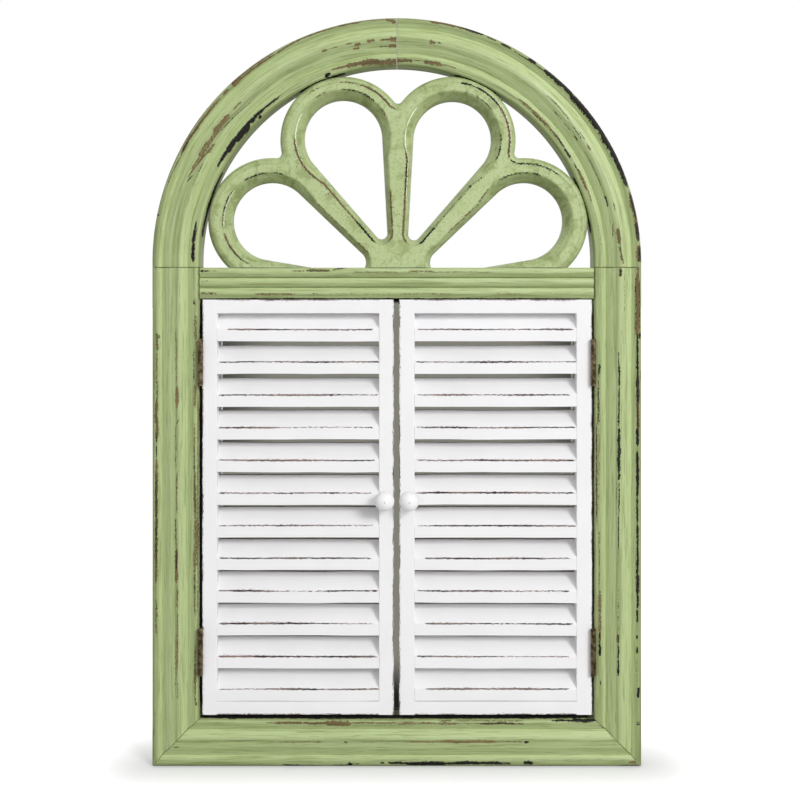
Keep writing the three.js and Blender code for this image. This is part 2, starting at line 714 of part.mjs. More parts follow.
function knobScrew(side) {
  const length = DOOR_THICKNESS - SEAT + SCREW_BITE;
  return turned([
    [0, 0],
    [SCREW_HEAD_RADIUS, 0],
    [SCREW_HEAD_RADIUS, SCREW_HEAD_HEIGHT / 2],
    [SCREW_RADIUS, SCREW_HEAD_HEIGHT],
    [SCREW_RADIUS, length - SCREW_RADIUS],
    [0, length],
  ], side, DOOR_BACK_Y - SEAT);
}

/** One shutter door, in a group that stands on its hinge line. */
function door(sideName) {
  const side = SIDES[sideName];
  const group = new THREE.Group();
  group.position.set(side * HINGE_X, HINGE_Y, 0);
  const topRailZ = DOOR_TOP_Z - DOOR_TOP_RAIL;
  addPiece(group, `${sideName}_hinge_stile`, doorStile(side, false), WHITE_PAINT);
  addPiece(group, `${sideName}_meeting_stile`, doorStile(side, true), WHITE_PAINT);
  addPiece(group, `${sideName}_top_rail`, doorRail(side, topRailZ, DOOR_TOP_RAIL), WHITE_PAINT);
  addPiece(group, `${sideName}_bottom_rail`, doorRail(side, DOOR_BOTTOM_Z, DOOR_BOTTOM_RAIL), WHITE_PAINT);
  for (let number = 1; number <= SLAT_COUNT; number += 1) {
    const name = `${sideName}_slat_${String(number).padStart(2, '0')}`;
    addPiece(group, name, slat(side, number), WHITE_PAINT);
  }
  addPiece(group, `${sideName}_knob`, knob(side), WHITE_PAINT);
  addPiece(group, `${sideName}_knob_screw`, knobScrew(side), STEEL);
  for (const [place, z] of Object.entries(HINGE_HEIGHTS)) {
    addPiece(group, `${sideName}_door_leaf_${place}`, hingeLeaf(side, z, false), DARK_BRONZE);
  }
  return group;
}

// ---------------------------------------------------------------------------------------------
// The whole object
// ---------------------------------------------------------------------------------------------

function fixedFrame() {
  const group = new THREE.Group();
  for (const [sideName, side] of Object.entries(SIDES)) {
    addPiece(group, `frame_stile_${sideName}`, frameStile(side), GREEN_PAINT);
    addPiece(group, `arch_${sideName}`, archSegment(side), GREEN_PAINT);
    addPiece(group, `hanger_plate_${sideName}`, hangerPlate(side), STEEL);
    for (const [place, z] of Object.entries(HINGE_HEIGHTS)) {
      addPiece(group, `${sideName}_frame_leaf_${place}`, hingeLeaf(side, z, true), DARK_BRONZE);
      addPiece(group, `${sideName}_hinge_pin_${place}`, hingePin(side, z), DARK_BRONZE);
    }
  }
  addPiece(group, 'frame_bottom_rail', frameBottomRail(), GREEN_PAINT);
  addPiece(group, 'transom_rail', transomRail(), GREEN_PAINT);
  addPiece(group, 'fretwork', fretwork(), GREEN_PAINT);
  const mirrorFront = REBATE_DEPTH - SEAT;
  const mirrorBack = mirrorFront - MIRROR_THICKNESS;
  const backingFront = mirrorBack - SEAT;
  addPiece(group, 'mirror_glass', pane(mirrorBack, mirrorFront), SILVERED_GLASS);
  addPiece(group, 'backing_board', pane(backingFront - BACKING_THICKNESS, backingFront), HARDBOARD);
  return group;
}

const shutterMirror = new THREE.Group();
shutterMirror.add(fixedFrame(), door('left'), door('right'));

export default shutterMirror;
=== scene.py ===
# %% [markdown]
# # Shutter mirror
# An arched frame of moulded wood in worn green paint holds a mirror behind two white shutter doors,
# and a fretwork fan stands over the transom. The measured model gives every place and size. This
# notebook dresses it: each visible piece is rebuilt as a fine surface with worn edges, and painted.
# Positions are in metres, +Z is up and the front faces -Y.

# %% Load the measured model
import math
import bmesh
import bpy
import numpy as np
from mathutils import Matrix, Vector
from mathutils.geometry import tessellate_polygon


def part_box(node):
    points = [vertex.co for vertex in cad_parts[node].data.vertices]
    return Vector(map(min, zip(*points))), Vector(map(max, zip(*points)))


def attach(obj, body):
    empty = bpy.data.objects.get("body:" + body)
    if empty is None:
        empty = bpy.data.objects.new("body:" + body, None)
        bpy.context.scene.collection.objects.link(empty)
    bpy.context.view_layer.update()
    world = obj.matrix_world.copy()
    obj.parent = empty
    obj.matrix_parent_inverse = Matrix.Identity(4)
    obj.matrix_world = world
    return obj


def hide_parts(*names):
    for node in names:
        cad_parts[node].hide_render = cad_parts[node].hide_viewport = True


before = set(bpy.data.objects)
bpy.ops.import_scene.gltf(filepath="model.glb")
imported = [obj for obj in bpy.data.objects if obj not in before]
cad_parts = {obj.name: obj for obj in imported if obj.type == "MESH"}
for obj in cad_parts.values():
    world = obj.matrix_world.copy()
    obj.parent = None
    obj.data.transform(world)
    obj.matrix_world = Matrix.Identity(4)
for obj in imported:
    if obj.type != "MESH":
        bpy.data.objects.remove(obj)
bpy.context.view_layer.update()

# %% [markdown]
# ## The camera
# The picture is taken square on from 1.16 m, level with the tops of the doors. The lens isn't turned
# down to centre the object: it is shifted, as on a view camera, so that the frame's sides stay
# upright. A point at distance d along the view and x to the side lands
# lens * x / d from the middle of the 36 mm film.

# %% Set up the camera
MM = 0.001
CAMERA_PLACE = (0.0004, -1.1565, 0.486)
LENS_MM, FILM_MM = 50.6, 36
SHIFT_ASIDE, SHIFT_UP = 0.0035, -0.1369  # in shares of the film's width
camera = bpy.data.objects.new("camera", bpy.data.cameras.new("camera"))
camera.location = CAMERA_PLACE
camera.rotation_euler = (math.radians(90), 0, 0)
camera.data.lens = LENS_MM
camera.data.sensor_width = FILM_MM
camera.data.shift_x = SHIFT_ASIDE
camera.data.shift_y = SHIFT_UP
bpy.context.collection.objects.link(camera)
bpy.context.scene.camera = camera
bpy.context.scene.view_settings.view_transform = "Standard"
print("the camera stands", round(-CAMERA_PLACE[1], 3), "m in front of the frame's middle")

# %% [markdown]
# ## Studio light
# A soft lamp high on the right gives the mouldings their bright and dark sides, and throws the short
# shadows at the right ends of the slats. An even pale world fills them, with a little help from a
# larger, weaker lamp near the camera. The floor is white paper. It takes the object's shadow, and for
# the camera it also glows, more with the distance from the frame's foot, so that the shadow stays a
# soft line along the foot. The mirror sees a painted reflection of a dim room: a grey wall behind the
# camera, which glows for reflections only and darkens to both sides, and a floor that, for reflections
# only, glows dark close to the frame and grey farther off.

# %% Lamps and world
def soft_lamp(name, place, target, size, watts):
    """A square area lamp at a place, turned to look at a target."""
    data = bpy.data.lights.new(name, "AREA")
    data.shape = "SQUARE"
    data.size = size
    data.energy = watts
    lamp = bpy.data.objects.new(name, data)
    lamp.location = place
    toward = Vector(target) - Vector(place)
    lamp.rotation_euler = toward.to_track_quat("-Z", "Y").to_euler()
    bpy.context.collection.objects.link(lamp)


soft_lamp("key_lamp", place=(2.15, -3.12, 2.15), target=(0, 0, 0.4), size=1.24, watts=88)
soft_lamp("fill_lamp", place=(-0.1, -3.2, 1.0), target=(0, 0, 0.38), size=2.0, watts=10)

WORLD_FILL = 0.60
world = bpy.data.worlds.new("pale_room")
bpy.context.scene.world = world
world.use_nodes = True
tree = world.node_tree
background = tree.nodes["Background"]
path = tree.nodes.new("ShaderNodeLightPath")
seen = tree.nodes.new("ShaderNodeMath")
seen.operation = "MAXIMUM"
tree.links.new(path.outputs["Is Camera Ray"], seen.inputs[0])
tree.links.new(path.outputs["Is Glossy Ray"], seen.inputs[1])
through = tree.nodes.new("ShaderNodeMath")
through.operation = "MAXIMUM"
tree.links.new(seen.outputs[0], through.inputs[0])
tree.links.new(path.outputs["Is Transmission Ray"], through.inputs[1])
level = tree.nodes.new("ShaderNodeMapRange")
level.inputs["To Min"].default_value = WORLD_FILL
level.inputs["To Max"].default_value = 1.0
tree.links.new(through.outputs[0], level.inputs["Value"])
tree.links.new(level.outputs[0], background.inputs["Strength"])
background.inputs["Color"].default_value = (1, 1, 1, 1)
print("the world gives", WORLD_FILL, "of full white to the object")

# %% [markdown]
# ## Painting with nodes
# Every finish here is a small recipe of shader nodes. Writing each node takes several lines, so a
# helper class keeps the recipes short: it adds a node, sets or links its inputs, and returns its
# output. Colours are written as they look on a screen, from 0 to 255, and turned into the linear
# values that Blender wants.

# %% The recipe helper
def tone(red, green, blue):
    """A screen colour as linear light: (c + 0.055) / 1.055 to the power 2.4 above the toe."""
    values = np.array([red, green, blue]) / 255
    linear = np.where(values <= 0.04045, values / 12.92, ((values + 0.055) / 1.055) ** 2.4)
    return (*[float(v) for v in linear], 1.0)


class Recipe:
    """A material, and short names for the nodes that its finish is made of."""

    def __init__(self, name):
        self.material = bpy.data.materials.new(name)
        self.material.use_nodes = True
        self.tree = self.material.node_tree
        self.tree.nodes.clear()

    def add(self, kind, inputs=None, output=0, **settings):
        """A new node with its inputs set to values or linked to other nodes' outputs."""
        node = self.tree.nodes.new("ShaderNode" + kind)
        for key, value in settings.items():
            setattr(node, key, value)
        for key, value in (inputs or {}).items():
            if isinstance(value, bpy.types.NodeSocket):
                self.tree.links.new(value, node.inputs[key])
            else:
                node.inputs[key].default_value = value
        return node.outputs[output] if len(node.outputs) else None

    def stored(self, name):
        """A number that was stored on the mesh's points."""
        return self.add("Attribute", output="Fac", attribute_name=name)

    def noise(self, where, scale, detail=4.0, rough=0.55, distort=0.0):
        """Cloudy noise, stretched so that it fills 0 to 1."""
        raw = self.add("TexNoise", {"Vector": where, "Scale": scale, "Detail": detail,
                                    "Roughness": rough, "Distortion": distort}, "Fac")
        return self.spread(raw, 0.3, 0.7)

    def spread(self, value, low, high, to_low=0.0, to_high=1.0):
        """A soft step: to_low below low, to_high above high, and an S curve between."""
        return self.add("MapRange", {"Value": value, "From Min": low, "From Max": high,
                                     "To Min": to_low, "To Max": to_high},
                        interpolation_type="SMOOTHSTEP")

    def math(self, operation, a, b=0.0):
        """One arithmetic step. The four names below are the steps that come most often."""
        return self.add("Math", {0: a, 1: b}, operation=operation)

    def plus(self, a, b):
        return self.math("ADD", a, b)

    def less(self, a, b):
        return self.math("SUBTRACT", a, b)

    def times(self, a, b):
        return self.math("MULTIPLY", a, b)

    def most(self, a, b):
        return self.math("MAXIMUM", a, b)

    def blend(self, amount, a, b):
        """Colour a turning into colour b."""
        return self.add("Mix", {0: amount, 6: a, 7: b}, 2, data_type="RGBA")

    def stretched(self, where, scale, turn=(0, 0, 0)):
        """Coordinates scaled and turned, which draws a noise out along the smallest scale."""
        return self.add("Mapping", {"Vector": where, "Scale": scale, "Rotation": turn})

    def finish(self, colour, roughness, height=None, depth=0.0001, **sockets):
        """The surface itself. height is a bump pattern, and depth is how deep it goes in metres."""
        inputs = {"Base Color": colour, "Roughness": roughness}
        inputs.update({key.replace("_", " "): value for key, value in sockets.items()})
        if height is not None:
            inputs["Normal"] = self.add("Bump", {"Height": height, "Distance": depth, "Strength": 1.0})
        surface = self.add("BsdfPrincipled", inputs)
        self.add("OutputMaterial", {"Surface": surface})
        return self.material


# %% The floor and the wall that the mirror sees
FOOT_HALF = 0.25
GLOW_REACH, GLOW_AT_FOOT, GLOW_BEYOND = 0.13, 0.31, 1.0
DIM_NEAR, DIM_FAR, DIM_AT_FOOT, DIM_BEYOND = 0.17, 0.34, 0.02, 0.31
recipe = Recipe("white_paper_floor")
where = recipe.add("SeparateXYZ", {0: recipe.add("TexCoord", output="Object")})
where_y = where.node.outputs["Y"]
past_end = recipe.less(recipe.math("ABSOLUTE", where), FOOT_HALF)
past_end = recipe.most(past_end, 0.0)
aside = recipe.math("POWER", past_end, 2.0)
ahead = recipe.math("POWER", recipe.math("ABSOLUTE", where_y), 2.0)
distance = recipe.math("SQRT", recipe.plus(aside, ahead))
matt = recipe.add("BsdfDiffuse", {"Color": tone(206, 206, 206)})
glow = recipe.add("Emission", {"Color": (1, 1, 1, 1),
                               "Strength": recipe.spread(distance, 0.0, GLOW_REACH,
                                                         GLOW_AT_FOOT, GLOW_BEYOND)})
seen = recipe.add("LightPath", output="Is Camera Ray")
paper = recipe.add("MixShader", {0: seen, 1: matt, 2: recipe.add("AddShader", {0: matt, 1: glow})})
# Painted reflection: for reflections only, the floor glows dark close to the frame and grey farther off,
# which darkens the foot of the slit between the doors
dim = recipe.add("Emission", {"Color": tone(255, 254, 244),
                              "Strength": recipe.spread(distance, DIM_NEAR, DIM_FAR,
                                                        DIM_AT_FOOT, DIM_BEYOND)})
mirrored = recipe.add("LightPath", output="Is Glossy Ray")
recipe.add("OutputMaterial", {"Surface": recipe.add("MixShader", {0: mirrored, 1: paper, 2: dim})})


def flat_sheet(name, corners, material):
    """A plain four-cornered sheet that is part of the studio."""
    mesh = bpy.data.meshes.new(name)
    mesh.from_pydata(corners, [], [(0, 1, 2, 3)])
    mesh.materials.append(material)
    sheet = bpy.data.objects.new(name, mesh)
    bpy.context.collection.objects.link(sheet)
    return sheet


FLOOR_HALF, FLOOR_DROP = 30.0, 0.5 * MM
floor = flat_sheet("floor", [(-FLOOR_HALF, -FLOOR_HALF, 0), (FLOOR_HALF, -FLOOR_HALF, 0),
                             (FLOOR_HALF, FLOOR_HALF, 0), (-FLOOR_HALF, FLOOR_HALF, 0)],
                   recipe.material)
floor.location.z = -FLOOR_DROP

# Painted reflection: a sheet behind the camera that only reflections see, glowing grey and darker to its
# sides, as a dim room
WALL_Y, WALL_HALF, WALL_TOP = -2.4, 1.6, 2.0
LIT_HALF, DARK_HALF, LIT, DARK = 0.36, 0.58, 0.31, 0.09
recipe = Recipe("grey_studio_wall")
where = recipe.add("SeparateXYZ", {0: recipe.add("TexCoord", output="Object")})
lit = recipe.spread(recipe.math("ABSOLUTE", where), LIT_HALF, DARK_HALF, LIT, DARK)
dim = recipe.add("Emission", {"Color": tone(255, 254, 244), "Strength": lit})
recipe.add("OutputMaterial", {"Surface": dim})
wall = flat_sheet("wall_behind_the_camera",
                  [(-WALL_HALF, WALL_Y, 0), (WALL_HALF, WALL_Y, 0),
                   (WALL_HALF, WALL_Y, WALL_TOP), (-WALL_HALF, WALL_Y, WALL_TOP)],
                  recipe.material)
for kind in ("camera", "diffuse", "transmission", "volume_scatter", "shadow"):
    setattr(wall, "visible_" + kind, False)
print("the mirror sees a wall", 2 * WALL_HALF, "m wide at", -WALL_Y, "m")

# %% [markdown]
# ## Surfaces from grids
# Almost every piece is a section carried along a path, which is a grid of points: station i along
# the piece and point j round the section. numpy works out the whole grid at once, and one helper
# turns a grid into a closed mesh. It also stores numbers on the points: how far along and across the
# grain each one lies, how much of the paint is gone there, and where shade or a highlight is painted.
# The finishes read those numbers. Every piece gets a length of its own added to its grain, so that no
# two pieces show the same streaks.

# %% The mesh helper
def grid_faces(rows, cols):
    """Corner numbers of the quads of a grid that closes round each section."""
    i, j = np.meshgrid(np.arange(rows - 1), np.arange(cols), indexing="ij")
    k = (j + 1) % cols
    quads = np.stack([i * cols + j, i * cols + k, (i + 1) * cols + k, (i + 1) * cols + j], -1)
    return quads.reshape(-1, 4)


def grid_of(x, y, z):
    """Coordinates that spread out against one another, as one grid of points."""
    return np.stack(np.broadcast_arrays(x, y, z), -1)


def skin(name, points, along, across, smooth_below=40, **stored):
    """A closed mesh from a grid of points[station, place, xyz], with its ends filled.

    Its volume, a sixth of the sum of a . (b x c) over its triangles, tells which way it faces, and
    an inside-out grid is turned round. along and across become the UV map, in metres, and across may
    be one row for all stations. Edges that fold by more than smooth_below degrees stay sharp.
    """
    rows, cols = points.shape[:2]
    flat = points.reshape(-1, 3)
    quads = grid_faces(rows, cols)
    middle = flat.mean(0)
    a, b, c, d = (flat[quads[:, k]] - middle for k in range(4))
    volume = np.einsum("ij,ij", a, np.cross(b, c)) + np.einsum("ij,ij", a, np.cross(c, d))
    first, last = list(range(cols)), list(range((rows - 1) * cols, rows * cols))
    faces = quads.tolist() + [first[::-1], last]
    if volume < 0:
        faces = [face[::-1] for face in faces]
    mesh = bpy.data.meshes.new(name)
    mesh.from_pydata(flat.tolist(), [], faces)
    corners = np.empty(len(mesh.loops), dtype=np.int32)
    mesh.loops.foreach_get("vertex_index", corners)
    uv = np.stack([along.ravel(), np.broadcast_to(across, along.shape).ravel()], -1)[corners]
    mesh.uv_layers.new(name="grain").data.foreach_set("uv", uv.astype(np.float32).ravel())
    for key, values in stored.items():
        values = np.broadcast_to(values, (rows, cols)).astype(np.float32)
        mesh.attributes.new(key, "FLOAT", "POINT").data.foreach_set("value", values.ravel())
    mesh.shade_smooth()
    mesh.set_sharp_from_angle(angle=math.radians(smooth_below))
    piece = bpy.data.objects.new(name, mesh)
    bpy.context.collection.objects.link(piece)
    return piece


def dress(piece, material, slot, body, *nodes):
    """Gives a piece its finish, lets it ride on its body, and lets it stand for CAD nodes."""
    piece.data.materials.clear()
    piece.data.materials.append(material)
    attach(piece, body)
    if nodes:
        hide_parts(*nodes)
    return piece


# %% [markdown]
# ## Wear
# Paint that is sanded through goes first along the crests and arrises, in ragged strokes, and the
# brown stain under it shows. A stroke is listed: where it starts and ends along the piece,
# where its middle line lies across it, how wide it is and how much paint it took. Smooth random
# values make its width wander. The finish later breaks it into flakes.

# %% Random values and strokes
def wander(x, y, seed):
    """Smooth random values from 0 to 1: one value at each whole corner, mixed by 3t^2 - 2t^3."""
    x, y = np.broadcast_arrays(np.asarray(x, float), np.asarray(y, float))
    x0, y0 = np.floor(x), np.floor(y)
    s, t = x - x0, y - y0
    s, t = s * s * (3 - 2 * s), t * t * (3 - 2 * t)

    def corner(i, j):
        value = np.sin(i * 127.1 + j * 311.7 + seed * 74.7) * 43758.5453
        return value - np.floor(value)

    low = corner(x0, y0) * (1 - s) + corner(x0 + 1, y0) * s
    high = corner(x0, y0 + 1) * (1 - s) + corner(x0 + 1, y0 + 1) * s
    return low * (1 - t) + high * t


def strokes(along, across, marks, seed):
    """How much paint is gone, 0 to 1, and along the gaps how dark the painted shadow is: the strongest of the
    strokes at each point.

    Each mark is (start, end, middle, half width, strength) in mm, and a pair of middles makes it
    slant. A stroke narrows over its first and last seventh, as the square root of the way in. Its
    line wanders every 12 mm, and its two edges fray on their own, every 8, 2.3 and 0.9 mm.
    """
    gone = np.zeros(np.broadcast(along, across).shape)
    for number, (start, end, middle, half, strength) in enumerate(marks):
        way = (along - start) / (end - start)
        inside = np.clip(np.minimum(way, 1 - way) * 7, 0, 1)
        first, last = middle if isinstance(middle, tuple) else (middle, middle)
        line = first + (last - first) * way + half * 0.6 * (wander(along / 12, number + 90, seed) - 0.5)
        edge = number + 31 * (across > line)
        frayed = (0.30 * wander(along / 8, edge, seed) + 0.55 * wander(along / 2.3, edge + 7, seed)
                  + 0.35 * wander(along / 0.9, edge + 15, seed))
        reach = np.abs(across - line) / np.maximum(half * (0.48 + frayed) * np.sqrt(inside), 1e-6)
        gone = np.maximum(gone, strength * np.clip(1.6 - reach, 0, 1) * (inside > 0))
    return gone


# %% [markdown]
# ## The green paint
# A light sage green was brushed over a brown stain and sanded. Broad and fine streaks run along the
# wood, an olive glaze stays in the grooves, and hair scratches cross it. The stored glaze also holds
# painted shade: on the fan's slopes that face down and left, and on the lower half of each transom reed.
# Where strokes are stored the paint breaks up into flakes: noise is added to the stored number and the
# sum is cut at a half, so that a strength of 1 is bare and a half strength is speckled. The black
# strokes also draw painted shadow lines along the gaps round the doors and the fan. A pale painted
# highlight rims each flake, and a cream one runs along some of the fan's lit arrises. The back was
# never painted.

# %% The green paint recipe
def green_paint(name, follows_grain, stains):
    """The green finish, with its streaks along the piece's UV map or all ways, from object space.

    stains are the dark and the light brown that show where the paint is gone.
    """
    r = Recipe(name)
    where = r.add("TexCoord", output="UV" if follows_grain else "Object")
    place = r.add("TexCoord", output="Object")
    if follows_grain:
        broad = r.noise(r.stretched(where, (6, 150, 1)), 1.0, 5.0, 0.6, 0.3)
        fine = r.noise(r.stretched(where, (26, 1300, 1)), 1.0, 4.0, 0.65)
        glaze = r.noise(r.stretched(where, (9, 300, 1), (0, 0, 0.01)), 1.0, 6.0, 0.7, 0.6)
        flakes = r.noise(r.stretched(where, (420, 1000, 1)), 1.0, 5.0, 0.72)
        scratch = r.noise(r.stretched(where, (22, 900, 1), (0, 0, 0.05)), 1.0, 2.0, 0.5, 1.2)
    else:
        broad = r.noise(place, 42.0, 5.0, 0.62, 1.2)
        fine = r.noise(place, 420.0, 4.0, 0.6)
        glaze = r.noise(place, 75.0, 5.0, 0.65, 0.6)
        flakes = r.noise(place, 700.0, 5.0, 0.72)
        leaning = [r.stretched(r.stretched(place, (1, 1, 1), (0, lean, 0)), (900, 900, 26))
                   for lean in (0.85, -0.95)]
        scratch = r.most(*[r.noise(hairs, 1.0, 2.0, 0.5, 0.5) for hairs in leaning])
        scratch = r.spread(scratch, 0.35, 1.35)
    cloud = r.noise(place, 14.0, 3.0, 0.5)

    mid, light, olive = tone(180, 196, 139), tone(194, 209, 158), tone(130, 145, 80)
    colour = r.blend(r.times(broad, 0.55), mid, light)
    colour = r.blend(r.times(r.spread(glaze, 0.56, 0.9), 0.50), colour, olive)
    colour = r.blend(r.times(r.spread(fine, 0.50, 0.95), 0.34), colour, olive)
    colour = r.blend(r.times(r.spread(cloud, 0.2, 0.9), 0.16), colour, tone(178, 194, 128))
    patchy = r.plus(r.times(glaze, 0.6), 0.68)
    # The stored glaze darkens towards olive: real glaze in the grooves, and painted shade on the fan's slopes
    # that face down and left and on the lower halves of the transom's reeds
    glaze_and_shade = r.times(r.stored("glaze"), patchy)
    glaze_and_shade = r.math("MINIMUM", glaze_and_shade, 1.0)
    colour = r.blend(r.times(glaze_and_shade, 0.68), colour, tone(104, 116, 58))
    thin = r.times(r.spread(scratch, 0.90, 0.98), 0.5)
    colour = r.blend(thin, colour, tone(104, 104, 58))

    def bare(stored, low=0.50, high=0.56):
        """The cut edge of the flakes: 1 where the stored number plus noise passes a half."""
        ragged = r.times(r.less(flakes, 0.5), 0.92)
        return r.spread(r.plus(r.stored(stored), ragged), low, high)

    brown, black, raw = bare("rubbed"), bare("charred"), r.stored("bare")
    stain = r.blend(broad, *stains)
    stain = r.blend(r.times(r.spread(fine, 0.45, 1.0), 0.6), stain, tone(46, 35, 19))
    # Painted highlights: a cream line along some lit arrises of the fan, and a pale rim round each flake
    # where its raised edge catches the light
    painted_highlight = r.spread(r.plus(r.stored("painted_highlight"), r.times(flakes, 0.5)), 0.62, 0.85)
    colour = r.blend(r.times(painted_highlight, 0.85), colour, tone(240, 243, 216))
    rim = r.less(bare("rubbed", 0.42, 0.50), brown)
    colour = r.blend(r.times(rim, 0.35), colour, tone(206, 212, 168))
    colour = r.blend(r.times(brown, 0.93), colour, stain)
    # Black: paint worn through, and painted shadow lines along the gaps round the doors and the fan
    colour = r.blend(black, colour, r.blend(fine, tone(2, 2, 1), tone(26, 21, 12)))
    wood = r.blend(fine, tone(176, 140, 98), tone(206, 176, 134))
    wood = r.blend(r.times(glaze, 0.45), wood, tone(138, 100, 64))
    colour = r.blend(raw, colour, wood)

    worn = r.most(brown, black)
    rough = r.spread(r.most(worn, raw), 0.0, 1.0, 0.42, 0.78)
    height = r.less(r.times(fine, 0.12), worn)
    height = r.less(height, r.times(thin, 0.5))
    return r.finish(colour, rough, height, 0.00022, Specular_IOR_Level=0.5)


GREEN = green_paint("worn_green_paint_and_painted_light_along_the_grain", True, (tone(86, 66, 34), tone(134, 108, 66)))
GREEN_FAN = green_paint("worn_green_paint_and_painted_light_on_the_fan", False, (tone(78, 48, 30), tone(126, 84, 56)))
print("the green finishes have", [len(m.node_tree.nodes) for m in (GREEN, GREEN_FAN)], "nodes")

# %% [markdown]
# ## The moulding
# The frame's section is a small bead at the outer edge, a flat quirk, a big roll and an inner bead.
# A bead is a half circle pressed flat: across runs as (1 - cos t) / 2 and height as sin t. The roll
# is one half wave. The same section makes the stiles, the bottom rail and the arch, which is how such
# a frame is made from lengths of one moulding. Sizes are those of the measured model.

# %% The moulding's section
FACE = 48.8 * MM
HALF_WIDTH = -float(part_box("frame_stile_left")[0][0])
BACK_Y = float(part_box("frame_stile_left")[1][1])
ARCH_JOINT_Z = float(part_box("arch_left")[0][2])
ARCH_CENTRE_Z = ARCH_JOINT_Z + 5 * MM
INNER_RADIUS = HALF_WIDTH - FACE
STEP = 0.6 * MM


def run(start, end, bulge=0.0, power=1.0, step=STEP):
    """Points from start towards end, in mm, without the end itself.

    At the share t of the way the height is h0 + (h1 - h0) t^power + bulge sin(pi t).
    """
    (u0, h0), (u1, h1) = start, end
    count = max(2, int(math.hypot(u1 - u0, h1 - h0) * MM / step))
    t = np.arange(count) / count
    height = h0 + (h1 - h0) * t ** power + bulge * np.sin(math.pi * t)
    return np.stack([u0 + (u1 - u0) * t, height], -1) * MM


def quarter(start, end, rising, count=9):
    """A quarter of an ellipse from start towards end, which leaves upright if it is rising."""
    (u0, h0), (u1, h1) = start, end
    t = np.linspace(0, math.pi / 2, count, endpoint=False)
    if rising:
        return np.stack([u0 + (u1 - u0) * (1 - np.cos(t)), h0 + (h1 - h0) * np.sin(t)], -1) * MM
    return np.stack([u0 + (u1 - u0) * np.sin(t), h0 + (h1 - h0) * (1 - np.cos(t))], -1) * MM


def moulding(rebated):
    """The section as [across, height] points from the back's outer corner over the front.

    The rebated one has lines close together on its back where the hanger's pocket begins and ends.
    """
    crest, valley, ridge, shoulder = (4.0, 25.2), (10.3, 21.7), (18.6, 26.7), (29.4, 26.7)
    dip, bead_top, bead_crest, brink = (36.5, 21.3), (40.6, 23.5), (42.4, 23.9), (48.8, 19.0)
    front = [
        run((0, 0), (0, 19.2), step=2 * MM),
        quarter((0, 19.2), crest, True),
        run(crest, valley, power=1.7),
        run(valley, ridge, -0.2),
        run(ridge, shoulder, 1.0),
        run(shoulder, dip, 0.35),
        run(dip, bead_top, 0.15, step=0.4 * MM),
        run(bead_top, bead_crest, 0.1, step=0.4 * MM),
        quarter(bead_crest, brink, False, 12),
    ]
    lip, rebate = 40.8, 5.8
    outer, inner = (float(corner[0] + HALF_WIDTH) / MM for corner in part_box("hanger_plate_left"))
    pocket = [outer - 0.55, outer - 0.45, inner + 0.45, inner + 0.55]
    lines = np.sort(np.r_[np.arange(4, lip, 4), lip, pocket])[::-1]
    if rebated:
        back = [run(brink, (48.8, rebate), step=1.5 * MM), run((48.8, rebate), (lip, rebate), step=2 * MM),
                run((lip, rebate), (lip, 0), step=2 * MM), np.stack([lines, 0 * lines], -1) * MM]
    else:
        back = [run(brink, (48.8, 0), step=1.5 * MM), run((48.8, 0), (0, 0), step=4 * MM)]
    return np.concatenate(front + back)


# How dark the glaze and the grime lie at each distance in from the outer edge, in mm
GLAZE_AT = (0, 1.5, 4, 5.8, 7.4, 8.4, 11.2, 18.4, 20.2, 22.0, 24.0, 25.6, 26.8, 27.8, 29.5, 31, 34.5,
            36.0, 37.2, 39.6, 41.2, 42.6, 44.6, 46.0, 47.2, 48.8)
GLAZE = (0.9, 0.8, 0.75, 0.7, 0.3, 0.0, 0.0, 0.0, 0.05, 0.25, 0.35, 0.8, 0.75, 0.3, 0.1, 0.0, 0.0,
         0.1, 0.0, 0.1, 0.35, 0.6, 0.5, 0.1, 0.7, 1.0)


section, section_rebated = moulding(False), moulding(True)


def distance_round(outline):
    """How far round a section each of its points lies."""
    return np.r_[0, np.cumsum(np.hypot(*np.diff(outline, axis=0).T))]


print("the moulding's section has", len(section), "points, or", len(section_rebated), "with a rebate")


def stations(start, end, step=1.0 * MM):
    """Places along a piece, with closer ones near both ends for the worn joints."""
    inner = np.linspace(start, end, max(2, int(abs(end - start) / step)))[1:-1]
    sign = 1 if end > start else -1
    fine = np.array([0, 0.25, 0.5, 0.9]) * MM * sign
    return np.concatenate([start + fine, inner[np.abs(inner - start) > 1.2 * MM][:-1], end - fine[::-1]])


def paint_numbers(along, outline, glaze, marks, seed, ends):
    """The numbers that the green finish reads: worn brown, worn black with painted gap shadows, glaze with
    some painted shade, and bare wood.

    ends is how far each point is from the nearer end, where the paint cracked along the joint. The
    back and the rebate, up to 6 mm off the wall, are bare.
    """
    across, height = outline.T / MM
    front = (height > 12)[None, :]
    brown = strokes(along, across[None, :], marks["brown"], seed) * front
    black = strokes(along, across[None, :], marks["black"], seed + 7) * front
    joint = np.clip(1.15 - ends / (0.5 * MM), 0, 1)
    flaked = joint * (0.22 + 0.5 * wander(along / 4, across / 3, seed))
    bare = (height < 6) & (across > 0.1) & (across < FACE / MM - 0.1) | (height < 0.1)
    return {"rubbed": np.maximum(brown, flaked), "charred": black,
            "bare": np.broadcast_to(bare[None, :].astype(float), along.shape),
            "glaze": np.maximum(glaze[None, :], joint)}


FRONT_ABOVE = 17  # the moulding's front stands higher than this, in mm


def moulding_glaze(outline, extra=0.0):
    """The glaze over the moulding's front. extra adds two grimy lines, on and beside the roll."""
    across, height = outline.T / MM
    lines = 0.5 * np.exp(-((across - 28.3) / 0.8) ** 2) + 0.35 * np.exp(-((across - 22) / 1.6) ** 2)
    front = height > FRONT_ABOVE
    return extra * lines * front + np.where(front, np.interp(across, GLAZE_AT, GLAZE), 0.7)
